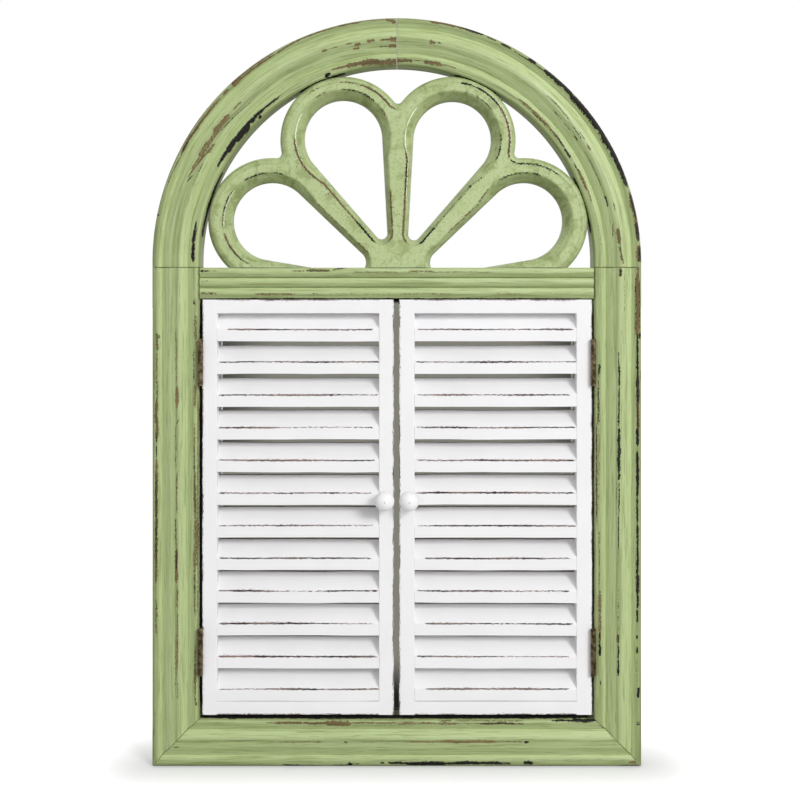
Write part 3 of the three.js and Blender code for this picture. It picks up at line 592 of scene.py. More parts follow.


# %% [markdown]
# ## Stiles and bottom rail
# The corners at the bottom are mitred: a stile ends where its height equals its distance across, so
# each point of the section starts at its own height. At the top the stile is cut square under the
# arch. The marks below are the worn places that show in the picture, in millimetres up the stile and
# in from its outer edge, and one black line along each inner edge is painted shadow in the gap beside
# the door. A pocket is sunk in each back for the hanger plate and the nail's head.

# %% Make the stiles
# The black line at 48.9 mm, from 52 to 476 mm up, on both sides is painted shadow in the gap beside the door
STILE_MARKS = {
    "left": {
        "brown": [(133, 172, 5.0, 0.8, 0.66), (187, 262, 4.9, 1.2, 0.92), (255, 315, 5.0, 1.3, 0.95),
                  (333, 374, 5.2, 1.4, 0.92), (372, 425, 5.6, 0.8, 0.62), (424, 443, 5.9, 1.1, 0.8),
                  (70, 88, 27.2, 0.6, 0.6), (84, 96, (24.6, 26.0), 0.7, 0.6), (92, 136, 25.8, 0.9, 0.56),
                  (100, 162, 27.0, 0.7, 0.78), (162, 186, 26.7, 0.7, 0.8), (188, 224, 26.0, 1.3, 0.9),
                  (222, 256, 25.3, 0.7, 0.62), (257, 303, 26.4, 0.6, 0.66), (304, 350, 25.2, 0.8, 0.5),
                  (366, 389, 26.4, 1.2, 0.94), (388, 448, 25.6, 0.7, 0.5),
                  (64, 126, 44.4, 0.7, 0.76), (84, 101, 44.4, 1.1, 0.8), (154, 202, 44.0, 0.8, 0.66),
                  (200, 256, 44.4, 1.6, 0.72), (254, 302, 43.9, 1.1, 0.86), (300, 352, 43.6, 0.8, 0.66),
                  (366, 391, 43.9, 1.1, 0.82), (434, 462, 44.6, 1.6, 0.6), (140, 378, 46.9, 0.6, 0.6),
                  (205, 255, 46.6, 0.9, 0.72)],
        "black": [(28, 40, 2.0, 0.4, 0.6), (206, 300, 4.9, 0.7, 0.7), (315, 342, 5.2, 0.6, 0.7),
                  (372, 396, 5.4, 0.5, 0.66), (437, 441, 7.2, 0.7, 0.7), (200, 223, 25.6, 0.8, 0.66),
                  (226, 256, 25.3, 0.4, 0.6), (350, 354, (26.0, 28.0), 0.5, 0.8), (306, 330, 25.4, 0.5, 0.56),
                  (154, 205, 43.7, 0.5, 0.6), (300, 330, 43.4, 0.5, 0.66), (392, 427, 43.0, 0.5, 0.7),
                  (62, 67, 45.2, 0.7, 0.7), (471, 477, 43.4, 0.7, 0.8), (52, 476, 48.9, 0.5, 0.96)],
    },
    "right": {
        "brown": [(438, 503, 4.7, 1.9, 1.0), (338, 402, 4.6, 1.4, 0.86), (498, 510, 4.4, 0.9, 0.8),
                  (177, 196, 4.8, 1.4, 0.8), (127, 137, 25.0, 1.2, 0.9), (136, 180, 25.0, 0.5, 0.5),
                  (126, 181, 43.0, 1.2, 0.8), (136, 180, 42.2, 1.0, 0.66), (180, 246, 43.6, 0.5, 0.7),
                  (245, 350, 46.0, 0.7, 0.86), (262, 345, 44.0, 0.6, 0.62), (348, 388, 44.4, 1.2, 0.72),
                  (384, 404, 44.0, 0.7, 0.7), (500, 509, 22.6, 1.6, 0.9), (85, 110, 5.4, 0.5, 0.5)],
        "black": [(71, 82, 3.9, 1.2, 1.0), (43, 47, 4.0, 1.6, 0.66), (116, 123, 5.1, 0.7, 0.9),
                  (131, 135, 5.0, 0.8, 0.9), (147, 161, 5.1, 0.9, 0.9), (162, 177, 4.8, 1.0, 0.95),
                  (176, 197, 4.8, 1.5, 0.86), (195, 226, 4.8, 1.0, 0.98), (224, 249, 4.6, 0.9, 1.0),
                  (249, 276, 4.7, 0.9, 0.86), (275, 323, 4.9, 1.2, 1.0), (327, 346, 4.9, 1.1, 1.0),
                  (344, 372, 4.5, 0.7, 0.8), (370, 402, 4.7, 1.4, 0.86), (398, 442, 4.7, 1.0, 0.92),
                  (437, 443, 2.2, 1.0, 0.9), (392, 404, 1.3, 0.4, 0.7), (440, 500, 3.0, 0.5, 0.7),
                  (440, 500, 6.6, 0.4, 0.66), (94, 111, 25.0, 0.8, 0.92), (111, 126, 25.0, 0.7, 0.9),
                  (128, 136, 24.6, 0.9, 0.8), (138, 182, 25.0, 0.4, 0.56), (205, 226, 25.0, 0.4, 0.6),
                  (222, 257, 24.6, 0.6, 0.72), (255, 292, 24.1, 0.6, 0.8), (293, 301, 24.3, 1.2, 0.9),
                  (300, 340, 24.2, 1.4, 0.9), (338, 346, 24.2, 1.1, 0.86),
                  (347, 390, (24.6, 23.6), 0.7, 0.84), (388, 411, 24.0, 0.9, 0.92),
                  (409, 424, 24.6, 0.5, 0.8), (255, 292, 27.0, 0.4, 0.5),
                  (84, 88, 42.2, 0.6, 0.8), (113, 126, 43.0, 1.0, 1.0), (126, 137, 43.4, 0.8, 0.8),
                  (255, 350, 46.2, 0.4, 0.66), (352, 388, 44.2, 0.6, 0.6), (400, 411, 43.6, 1.1, 0.86),
                  (500, 508, 22.4, 0.8, 0.8), (430, 506, (17.4, 18.2), 0.3, 0.5), (52, 476, 48.9, 0.5, 0.96)],
    },
}
SEAM = 0.3 * MM  # between a stile and the arch
CORNER_ROUND = 2.6 * MM  # of the frame's two bottom corners
CLEAR, NAIL_ROOM = 0.5 * MM, 2 * MM  # round a hanger plate, and behind it
LIFT = 2.0 * MM


def mitre(across):
    """How far up a mitred end lies at each distance across: a straight line from a round corner."""
    turned_in = CORNER_ROUND - np.sqrt(np.maximum(CORNER_ROUND ** 2 - (CORNER_ROUND - across) ** 2, 0))
    return np.where(across < (1 - math.sqrt(0.5)) * CORNER_ROUND, turned_in, across) + 0.15 * MM


def lift(across, height):
    """How much higher the bottom rail's front lies than an evenly spread section, in its middle."""
    return LIFT * np.sin(math.pi * across / FACE) * (height > FRONT_ABOVE * MM)


SIDES = {"left": -1, "right": 1}

for side_name, side in SIDES.items():
    u, h = section_rebated.T
    foot, top = mitre(u) + lift(u, h), ARCH_JOINT_Z - SEAM
    way = stations(0.0, top)
    z = foot[None, :] + (top - foot)[None, :] * ((way - way[0]) / (way[-1] - way[0]))[:, None]
    points = grid_of(side * (HALF_WIDTH - u), BACK_Y - h, z)
    low, high = (np.array(corner, float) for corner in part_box(f"hanger_plate_{side_name}"))
    x = points[..., 0]
    let_in = (h[None, :] < 0.1 * MM) & (x > low[0] - CLEAR) & (x < high[0] + CLEAR)
    let_in = let_in & (z > low[2] - CLEAR) & (z < high[2] + CLEAR)
    points[..., 1] -= let_in * (BACK_Y - low[1] + NAIL_ROOM)
    ends = np.minimum(z - foot[None, :], top - z)
    numbers = paint_numbers(z / MM, section_rebated, moulding_glaze(section_rebated),
                            STILE_MARKS[side_name], 3 + side, ends)
    stile = skin(f"moulded_stile_{side_name}", points, z + 0.37 * side,
                 distance_round(section_rebated), **numbers)
    dress(stile, GREEN, "green_paint", "frame", f"frame_stile_{side_name}")
print("stiles are", round(float(top), 4), "m high with", len(way), "stations")

# %% Make the bottom rail
# The black line at 48.9 mm across the whole rail is painted shadow in the gap under the doors
RAIL_MARKS = {
    "brown": [(-133, -126, 44.5, 0.6, 0.6), (-126, -94, 44.2, 1.0, 0.86), (-96, -70, 44.2, 1.2, 0.9),
              (-74, -46, 43.8, 2.1, 1.0), (-48, 2, 44.4, 0.9, 0.76), (0, 42, 43.8, 0.9, 0.76),
              (40, 62, 43.6, 1.1, 0.72), (60, 88, 44.0, 0.6, 0.66), (84, 122, 43.6, 1.2, 0.8),
              (120, 131, 43.4, 0.9, 0.76), (42, 56, 46.5, 0.6, 0.74), (58, 132, 46.5, 0.6, 0.56),
              (-120, -80, 25.0, 0.6, 0.6), (-40, 2, 25.0, 0.5, 0.5), (8, 46, 25.1, 0.7, 0.7),
              (44, 102, 25.5, 1.1, 0.92), (100, 128, 25.2, 0.6, 0.6), (209, 212, 39.5, 1.6, 0.8),
              (236, 244, 4.4, 1.0, 0.9), (10, 50, 3.8, 1.6, 0.7)],
    "black": [(-117, -98, 2.0, 0.7, 0.92), (-100, -74, 1.7, 0.4, 0.66), (-66, -49, 2.0, 0.6, 0.8),
              (-50, -45, 3.0, 1.3, 0.95), (-45, -37, 3.4, 0.6, 0.6), (-17, -13, 4.0, 0.8, 0.9),
              (-9, 6, 4.4, 0.8, 0.96), (2, 12, 4.0, 0.9, 1.0), (9, 52, 3.6, 1.5, 1.0),
              (50, 62, 4.0, 0.8, 0.9), (58, 96, 4.1, 1.2, 1.0), (90, 107, 4.0, 1.2, 0.86),
              (105, 117, 3.6, 1.0, 0.6), (129, 139, 4.0, 1.2, 0.95), (90, 202, 1.4, 0.4, 0.6),
              (225, 247, 1.5, 0.7, 0.7), (-81, -77, 25.0, 0.5, 0.8), (-54, -50, 25.0, 0.6, 0.8),
              (129, 134, 25.0, 0.9, 0.9), (84, 122, 43.4, 0.6, 0.72), (158, 204, 46.6, 0.8, 0.95),
              (178, 203, 46.8, 1.3, 0.96), (-172, -164, 48.0, 0.4, 0.7), (-92, -50, 48.0, 0.4, 0.6),
              (-228, -221, 19.6, 0.4, 0.7), (-202, 202, 48.9, 0.5, 0.96)],
}
u, h = section_rebated.T
way = stations(-1.0, 1.0, 1.0 * MM / HALF_WIDTH)
way = way / abs(way).max()
half = HALF_WIDTH - mitre(u)
x = way[:, None] * half[None, :]
points = grid_of(x, BACK_Y - h, u + lift(u, h))
numbers = paint_numbers(x / MM, section_rebated, moulding_glaze(section_rebated), RAIL_MARKS, 11,
                        half[None, :] - np.abs(x))
rail = skin("moulded_bottom_rail", points, x, distance_round(section_rebated), **numbers)
dress(rail, GREEN, "green_paint", "frame", "frame_bottom_rail")
print("the bottom rail is", round(float(2 * np.abs(x).max()), 4), "m wide")

# %% [markdown]
# ## The arch
# Each half of the arch is the same section turned about the arch's centre: at angle a, a point u in
# from the outer edge is at (R - u) cos a sideways and (R - u) sin a up. A short straight foot comes
# first. The marks are given in degrees up from the foot, with 90 at the crown.

# %% Make the arch
# The black lines at 48.9 mm, near 8 to 27 and 60 to 75 degrees, are painted shadow where the fan's petals
# meet the arch
ARCH_MARKS = {
    "left": {
        "brown": [(0, 11, 0.9, 0.6, 0.6), (10, 28, 0.8, 0.6, 0.62), (18, 27, (3.0, 5.0), 0.5, 0.66),
                  (26.5, 33, 4.2, 1.2, 1.0), (32, 43, 4.4, 1.1, 0.94), (27, 39.5, 0.7, 0.7, 0.8),
                  (43.8, 46, 4.0, 1.0, 0.9), (47, 50, 3.4, 2.4, 0.96), (49, 60, 2.0, 0.7, 0.9),
                  (49, 60, 4.5, 0.7, 0.96), (60, 67, (4.4, 2.4), 0.8, 0.9), (66, 76, 2.4, 0.7, 0.9),
                  (75.5, 81.5, 2.2, 0.9, 0.95), (81, 88, 1.8, 0.5, 0.7), (87.4, 89.8, (2.4, 5.0), 1.6, 0.95),
                  (22, 33, (20.4, 29.6), 0.8, 0.86), (23, 33.5, (21.6, 30.0), 0.5, 0.8),
                  (24.5, 31, (20.6, 25.4), 0.7, 0.8), (28, 33, 22.6, 2.2, 0.76), (31, 36.5, 24.6, 1.8, 0.72),
                  (30, 33, 28.6, 1.3, 0.74), (35, 41.5, 22.4, 2.0, 0.86), (34, 42, 25.0, 0.7, 0.7),
                  (43, 46, 22.8, 0.8, 0.82), (70.4, 71.8, 22.8, 1.2, 0.86), (73, 74.8, 22.6, 0.5, 0.7),
                  (76.8, 78.4, 22.6, 0.6, 0.86), (79, 80.6, 25.0, 1.4, 0.9), (78.4, 80.2, 28.6, 0.9, 0.95),
                  (82.2, 84.4, 23.4, 1.4, 0.95), (85.6, 88.6, 23.4, 0.9, 0.86), (88.2, 90.6, 23.0, 2.4, 0.9),
                  (85.2, 88, 30.0, 0.5, 0.76), (87.8, 90, 29.4, 1.7, 0.86),
                  (71, 77, (42.6, 43.2), 0.9, 0.9), (75.4, 80.4, 43.3, 1.8, 1.0),
                  (79.6, 85.4, 44.4, 2.4, 1.0), (84.6, 90.6, 44.6, 2.3, 0.82),
                  (53, 56, 42.5, 0.6, 0.6), (0, 11, 42.0, 1.3, 0.7)],
        "black": [(0, 5.6, 41.8, 1.4, 1.0), (5, 9.4, 41.6, 1.4, 1.0), (8.6, 11.6, 41.5, 0.8, 0.96),
                  (28, 31, 42.8, 0.8, 1.0), (29.6, 37.6, 42.7, 1.7, 1.0), (33, 36.4, 44.8, 1.5, 1.0),
                  (36.4, 43.4, (44.4, 44.0), 2.4, 1.0), (38, 45, 42.2, 1.2, 1.0), (37, 42.8, 45.8, 1.2, 1.0),
                  (43.4, 49, 42.6, 1.7, 1.0), (46.2, 47.4, 46.0, 1.0, 0.95),
                  (47.6, 54.6, (42.8, 43.2), 0.9, 1.0), (68.8, 70.6, (47.0, 45.2), 1.4, 1.0),
                  (11, 11.5, 1.6, 1.2, 1.0), (21, 23, (21.6, 24.2), 0.5, 0.95),
                  (20, 28, 28.4, 0.35, 0.6), (37, 48, (26.8, 29.6), 0.35, 0.76), (27.4, 30, 3.8, 1.0, 0.6),
                  (47, 49, 1.8, 0.8, 0.6), (76, 81, 1.6, 0.5, 0.6), (7.5, 27.5, 48.9, 0.5, 0.96),
                  (60, 75, 48.9, 0.5, 0.96)],
    },
    "right": {
        "brown": [(75.4, 82.2, 1.7, 1.4, 1.0), (69, 76, 1.6, 1.2, 0.9), (0, 4, 2.6, 2.4, 1.0),
                  (5, 17, 2.8, 1.8, 0.86), (18, 25.4, 3.2, 1.9, 0.9), (85.4, 90.6, 43.6, 1.8, 0.84),
                  (82.5, 85.6, 43.0, 0.4, 0.7), (76.8, 82.4, 43.4, 1.6, 0.98), (72.6, 77.4, 43.0, 0.6, 0.8),
                  (79.9, 81.6, 23.6, 1.6, 0.8), (30, 31.8, 22.6, 0.8, 0.86), (4.8, 8.8, 22.8, 1.8, 0.96),
                  (-0.5, 4.4, (19.6, 23.4), 0.7, 0.9), (6.6, 10.4, (28.6, 26.8), 0.6, 0.8),
                  (41, 53.4, 42.2, 1.1, 0.86), (34, 42, 42.4, 1.0, 0.82), (20.6, 27.4, 42.4, 1.2, 0.9),
                  (17, 21, (42.0, 41.4), 0.6, 0.76), (2, 17, 41.2, 0.4, 0.5), (39, 48, 22.2, 0.6, 0.5)],
        "black": [(69, 74.6, 1.6, 1.1, 1.0), (65.8, 68.4, 2.2, 0.7, 0.8), (61.8, 64.6, 3.1, 0.9, 1.0),
                  (57.8, 61, 4.0, 0.4, 0.9), (55, 57.2, 2.8, 1.5, 1.0), (50, 60, 4.1, 0.5, 1.0),
                  (43.6, 52.6, 3.0, 2.0, 1.0), (19.6, 45.6, 3.3, 2.5, 1.0), (18, 25, 3.4, 1.6, 0.82),
                  (10, 16.6, 2.6, 1.3, 0.8), (5, 9.6, 3.0, 1.6, 0.82), (0, 4, 2.4, 1.6, 0.7),
                  (34, 35.4, 6.2, 0.7, 0.9), (78.6, 79.6, 23.0, 0.7, 0.7), (39, 48, (22.6, 21.0), 0.4, 0.7),
                  (33.4, 39.4, 24.0, 0.4, 0.76), (33, 35.6, 21.6, 0.4, 0.56), (40.8, 44.4, 28.2, 0.5, 0.7),
                  (37, 40, 28.6, 0.4, 0.6), (34, 35.8, 28.2, 0.6, 0.86), (20, 30.4, 28.2, 0.35, 0.66),
                  (14.6, 18, 28.0, 0.6, 0.86), (13.4, 15.4, 21.6, 0.5, 0.8), (0, 6, 21.8, 0.6, 0.5),
                  (31, 34.2, 43.6, 1.0, 0.96), (26.2, 29.2, 43.2, 0.6, 0.8), (41, 52, 43.4, 0.5, 0.66),
                  (34, 41, 43.0, 0.6, 0.7), (21, 27, 43.4, 0.4, 0.6), (8.5, 26, 48.9, 0.5, 0.96),
                  (59.5, 73, 48.9, 0.5, 0.96)],
    },
}
MM_A_DEGREE = HALF_WIDTH / MM * math.pi / 180
CROWN_GAP = 0.12 * MM


def in_mm(marks):
    """Marks given in degrees, turned into lengths along the outer edge."""
    return {colour: [(a * MM_A_DEGREE, b * MM_A_DEGREE, *rest) for a, b, *rest in lines]
            for colour, lines in marks.items()}


u, h = section.T
for side_name, side in SIDES.items():
    feet = np.linspace(ARCH_JOINT_Z - ARCH_CENTRE_Z, 0, 6)
    turn = np.linspace(0, math.pi / 2, 390)
    rise = np.r_[feet[:-1], np.zeros(len(turn))][:, None]
    angle = np.r_[np.zeros(len(feet) - 1), turn][:, None]
    reach = (HALF_WIDTH - u)[None, :]
    x = reach * np.cos(angle) + (angle >= math.pi / 2 - 1e-9) * CROWN_GAP
    z = ARCH_CENTRE_Z + rise + reach * np.sin(angle)
    points = grid_of(side * x, BACK_Y - h, z)
    length = angle * HALF_WIDTH + rise + 0 * reach
    ends = np.minimum(length - feet[0], math.pi / 2 * HALF_WIDTH - length)
    numbers = paint_numbers(length / MM, section, moulding_glaze(section, 1.0),
                            in_mm(ARCH_MARKS[side_name]), 20 + side, ends)
    arch = skin(f"moulded_arch_{side_name}", points, length + 0.7 * side,
                distance_round(section), **numbers)
    dress(arch, GREEN, "green_paint", "frame", f"arch_{side_name}")
print("each arch segment has", len(angle), "stations")

# %% [markdown]
# ## The transom
# Three reeds run across between the stiles, the lowest a little wider than the others. Each is a
# shallow half wave with a sharp valley between, planed into a rail that lies in the rebates with its
# ears. Its lower edge shows slightly lower than in the measured model.

# %% Make the transom
TRANSOM_LOW, TRANSOM_HIGH = (float(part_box("transom_rail")[k][2]) for k in (0, 1))
SHOWN_LOWER = 0.9 * MM
TRANSOM_LOW -= SHOWN_LOWER
# The black line 0.2 mm up the whole lower edge is painted shadow in the gap above the doors
TRANSOM_MARKS = {
    "brown": [(-201, -192, 28.6, 1.0, 0.86), (-192, -184, 28.6, 0.6, 0.5), (-201, -190, 18.0, 0.5, 0.6),
              (-201, -184, 5.6, 1.0, 0.66), (-107, -94, 28.6, 0.6, 0.8), (-93, -68, 29.2, 1.1, 0.82),
              (-66, -51, (30.0, 32.2), 0.7, 0.82), (-44, 0, 27.6, 0.4, 0.7), (0, 96, (28.0, 27.4), 0.35, 0.6),
              (12, 38, 28.6, 0.7, 0.76), (40, 74, 27.2, 0.4, 0.7), (-146, -102, 5.0, 0.8, 0.8),
              (-102, 0, 4.8, 0.5, 0.56), (0, 62, 5.0, 0.6, 0.62), (98, 128, 5.0, 0.5, 0.62),
              (128, 200, 5.0, 0.4, 0.52)],
    "black": [(-201, -193, 28.4, 0.7, 0.8), (-201, -185, 5.8, 0.5, 0.6), (-90, -70, 28.8, 0.5, 0.66),
              (-62, -54, 31.4, 0.4, 0.66), (-86, -80, 5.4, 0.4, 0.6), (-204, 204, 0.2, 0.6, 0.98)],
}
REED_FOOT, REED_RISE, EAR = 20.7, 3.3, 5.8
REED_SHARES = np.array([0, 0.375, 0.685, 1])
width = (TRANSOM_HIGH - TRANSOM_LOW) / MM
reed_edges = REED_SHARES * width
turn = np.linspace(0, math.pi, 15, endpoint=False)
forward = REED_FOOT + REED_RISE * np.sin(turn)
profile = [np.stack([low + (high - low) * (1 - np.cos(turn)) / 2, forward], -1) * MM
           for low, high in zip(reed_edges, reed_edges[1:])]
profile += [run((width, REED_FOOT), (width, 0), step=2 * MM), run((width, 0), (8, 0), step=3 * MM),
            run((8, 0), (8, EAR), step=2 * MM), run((8, EAR), (0, EAR), step=2 * MM),
            run((0, EAR), (0, REED_FOOT), step=2 * MM)]
reeds = np.concatenate(profile)
share = np.interp(reeds[:, 0] / MM, reed_edges, range(4)) % 1
# Glaze fills the valleys between the reeds, and the lower half of each reed, which faces down, is darkened as
# painted shade
reed_glaze_and_shade = np.interp(share, (0, 0.05, 0.25, 0.42, 0.5, 0.8, 0.95, 1),
                       (0.7, 0.4, 0.5, 0.5, 0.12, 0.0, 0.12, 0.6))
reed_glaze_and_shade += 0.4 * np.exp(-((reeds[:, 0] / MM - 4.6) / 0.7) ** 2)
reed_glaze_and_shade = np.where(reeds[:, 1] > 19 * MM, reed_glaze_and_shade, 0.5)
x = stations(-INNER_RADIUS, INNER_RADIUS)
x = np.broadcast_to(x[:, None], (len(x), len(reeds)))
points = grid_of(x, BACK_Y - reeds[:, 1], TRANSOM_LOW + reeds[:, 0])
numbers = paint_numbers(x / MM, reeds, reed_glaze_and_shade, TRANSOM_MARKS, 31, INNER_RADIUS - np.abs(x))
transom = skin("reeded_transom", points, x + 1.3, distance_round(reeds), **numbers)
dress(transom, GREEN, "green_paint", "frame", "transom_rail")
print("the transom's reeds are", [round(float(v), 1) for v in np.diff(reed_edges)], "mm wide")

# %% [markdown]
# ## The fretwork fan
# Four petals are sawn from one board. The outline is made of circles: each petal's outer circle, a
# small circle rolled into each notch between two petals, and round each hole the belt over a large
# and a small circle. Every outline point knows the normal that points away from the wood, so an edge
# is a stack of rings that step into the wood. The outer edge is a quarter of an ellipse, 6.5 mm in
# and 7.5 mm deep. A hole's edge is a slope, 9.3 mm wide round its broad end and 5.4 mm elsewhere: at
# the share t of the way in, it lies 8.2 (1 - t)^1.2 + 1.8 (1 - t)^12 mm below the flat face. That face
# is filled with triangles, and the whole is then sawn off level with the transom.

# %% Outlines of the fan
FAN_X, FAN_Z = 1.2 * MM, ARCH_CENTRE_Z + 1.7 * MM
PETAL_STEP = math.radians(48.4)
petal_half = math.sin(PETAL_STEP / 2)
ROOM = INNER_RADIUS - 0.3 * MM
PETAL_OVERLAP, PETAL_RIM, NOTCH_RADIUS = 18.9 * MM, 25.2 * MM, 5 * MM
PETAL_RADIUS = (2 * ROOM * petal_half + PETAL_OVERLAP) / (2 + 2 * petal_half)
HOLE_RADIUS = PETAL_RADIUS - PETAL_RIM
# The small circle at a hole's narrow end: its centre from the fan's foot and its radius, in mm
UPPER_TIP, LOWER_TIP = ((16.4, 26.8), 6.0), ((45.3, -1.6), 12.3)
petal_angles = math.pi / 2 + (np.arange(4) - 1.5) * PETAL_STEP
centres = (ROOM - PETAL_RADIUS) * np.stack([np.cos(petal_angles), np.sin(petal_angles)], -1)


def ring(centre, radius, start, end, outward, step=1.1 * MM):
    """Points on an arc with their normals, which point away from the wood."""
    angle = np.linspace(start, end, max(6, int(abs(end - start) * radius / step)))
    normal = np.stack([np.cos(angle), np.sin(angle)], -1)
    return centre + radius * normal, normal * outward


def line(start, end, normal, step=1.1 * MM):
    """Points along a straight edge, without its ends."""
    count = max(2, int(np.hypot(*(end - start)) / step))
    t = (np.arange(1, count) / count)[:, None]
    return start + (end - start) * t, np.broadcast_to(normal, (count - 1, 2))


def heading(start, end):
    """The direction from one point to another, as an angle."""
    return math.atan2(end[1] - start[1], end[0] - start[0])


def fan_edge():
    """The fan's outer edge, from the right petal's foot over the petals to the left one's."""
    parts = []
    for i, centre in enumerate(centres):
        notches = []
        for other in (i - 1, i + 1):
            if 0 <= other < 4:
                middle = (centre + centres[other]) / 2
                gap = np.hypot(*(centre - centres[other])) / 2
                out = middle / np.hypot(*middle)
                notches.append(middle + out * math.sqrt((PETAL_RADIUS + NOTCH_RADIUS) ** 2 - gap ** 2))
            else:
                notches.append(None)
        start = heading(centre, notches[0]) if notches[0] is not None else -math.pi / 3
        end = heading(centre, notches[1]) if notches[1] is not None else math.pi * 4 / 3
        end += 2 * math.pi * math.ceil((start - end) / (2 * math.pi))
        parts.append(ring(centre, PETAL_RADIUS, start, end, 1))
        if notches[1] is not None:
            last = heading(notches[1], centres[i + 1])
            first = heading(notches[1], centre)
            first += 2 * math.pi * math.ceil((last - first) / (2 * math.pi))
            points, normals = ring(notches[1], NOTCH_RADIUS, first, last, -1, 0.8 * MM)
            parts.append((points[1:-1], normals[1:-1]))
    right, left = parts[0][0][0], parts[-1][0][-1]
    deep = -PETAL_RADIUS
    below = np.array([[left[0], deep], [right[0], deep]])
    parts.append((below, np.array([[-0.7, -0.7], [0.7, -0.7]])))
    return [np.concatenate(values) for values in zip(*parts)]


def hole_edge(centre):
    """A petal's hole: the belt round its large circle and the small one at its narrow end."""
    upper = centre[1] > np.hypot(*centre) / 2
    side = math.copysign(1, centre[0])
    tip, radius = UPPER_TIP if upper else LOWER_TIP
    tip, radius = np.array([side * tip[0], tip[1]]) * MM, radius * MM
    axis = heading(centre, tip)
    spread = math.acos((HOLE_RADIUS - radius) / np.hypot(*(tip - centre)))
    large = ring(centre, HOLE_RADIUS, axis + spread, axis + 2 * math.pi - spread, -1)
    small = ring(tip, radius, axis - spread, axis + spread, -1, 0.8 * MM)
    edges = []
    for begin, finish in ((large, small), (small, large)):
        start, end = begin[0][-1], finish[0][0]
        edges.append(line(start, end, begin[1][-1]))
    parts = [large, edges[0], small, edges[1]]
    return [np.concatenate(values) for values in zip(*parts)]


# How far each hole lies from its petal's centre, in mm aside and up: it was sawn by hand
HOLE_SHIFTS = [(0, 0), (0.2, 0.6), (-0.6, 1.7), (0, 0)]
outlines = [fan_edge()]
for centre, shift in zip(centres, HOLE_SHIFTS):
    points, normals = hole_edge(centre)
    outlines.append((points + np.array(shift) * MM, normals))
print("fan outlines have", [len(points) for points, _ in outlines], "points")

# %% Round, fill and saw the fan
FAN_BACK, FAN_FRONT = 8 * MM, 23 * MM
EDGE_IN, EDGE_DEEP = 6.5 * MM, 7.5 * MM
WIDE_SLOPE, NARROW_SLOPE = 9.3 * MM, 5.4 * MM
# Worn stretches of the edges, and painted highlights along arrises that face the light: how strong, then the
# corners of a line through them in mm, x and z
FAN_STROKES = {
    "rubbed": [
        (0.6, (-170.3, 588.2), (-177.5, 571.9), (-179.5, 555.5)),
        (0.95, (-176.5, 539.1), (-170.3, 529.9), (-165.2, 523.8)),
        (1.0, (-102.8, 636.3), (-99.7, 625.1), (-89.5, 608.7), (-78.2, 594.4), (-68.0, 584.1),
         (-57.7, 571.9)),
        (0.62, (-57.7, 571.9), (-41.3, 553.4)),
        (0.55, (-53.6, 699.8), (-39.3, 697.7)),
        (0.95, (-30.1, 694.7), (-19.9, 689.6), (-10.6, 682.4), (-7.6, 674.2)),
        (0.62, (-19.9, 671.1), (-12.7, 665.0)),
        (0.66, (-7.6, 584.1), (-4.5, 559.6), (-6.6, 537.1)),
        (0.45, (-86.4, 576.0), (-57.7, 553.4), (-33.2, 524.8)),
        (1.0, (7.1, 623.0), (6.8, 599.5), (6.2, 568.8), (7.1, 540.5)),
        (0.95, (98.2, 677.7), (104.7, 671.1), (111.2, 660.3), (113.2, 649.6), (114.2, 634.3), (112.2, 625.5)),
        (0.55, (104.7, 590.6), (89.5, 579.7), (78.4, 571.0), (67.7, 560.1), (54.6, 549.3)),
        (0.5, (-86.4, 692.6), (-70.0, 678.3)),
    ],
    "charred": [
        (0.55, (-170.3, 588.2), (-177.5, 571.9), (-179.5, 555.5)),
        (0.95, (-39.3, 551.4), (-27.0, 537.1)),
        (0.62, (-51.6, 691.6), (-37.3, 688.5), (-27.0, 682.4)),
        (0.66, (69.8, 696.2), (85.1, 688.5)),
        (0.9, (85.1, 688.5), (98.2, 677.7)),
        (0.55, (103.6, 640.7), (102.5, 623.2)),
        (0.62, (120.0, 614.8), (130.6, 615.3), (143.9, 614.5), (161.3, 608.0)),
        (0.6, (106.9, 596.0), (117.7, 600.5), (130.6, 602.6), (141.7, 602.6)),
        (1.0, (27.2, 537.3), (38.3, 546.0)),
        (0.52, (26.2, 542.7), (56.7, 578.0), (85.1, 608.0), (100.3, 625.5)),
        (0.56, (-121.2, 602.6), (-139.6, 605.6), (-153.9, 602.6)),
        (0.45, (-158.0, 518.6), (-108.9, 511.5)),
        (0.5, (12.5, 630.2), (12.1, 590.3)),
    ],
    "painted_highlight": [
        (0.8, (-170.3, 588.2), (-177.5, 571.9), (-179.5, 555.5)),
        (0.9, (-98.7, 661.9), (-101.7, 647.6), (-102.8, 636.3)),
        (0.9, (8.8, 645.6), (9.3, 582.1)),
        (0.8, (11.9, 659.9), (17.5, 669.1)),
        (0.7, (98.2, 677.7), (111.2, 660.3), (114.2, 634.3)),
    ],
}


def distance_to(points, start, end):
    """Distance of points from a straight stroke: to its line, or to its nearer end."""
    start, end = np.array(start) * MM, np.array(end) * MM
    way = np.clip(((points - start) @ (end - start)) / np.dot(end - start, end - start), 0, 1)
    return np.linalg.norm(points - start - way[..., None] * (end - start), axis=-1)


t = np.linspace(0, 1, 14)[:, None]
beyond = np.array([0.3, 0.9, 1.7])[:, None] * MM
vertices, faces, beside, arcs, shaded_side, rims = [], [], [], [], [], []
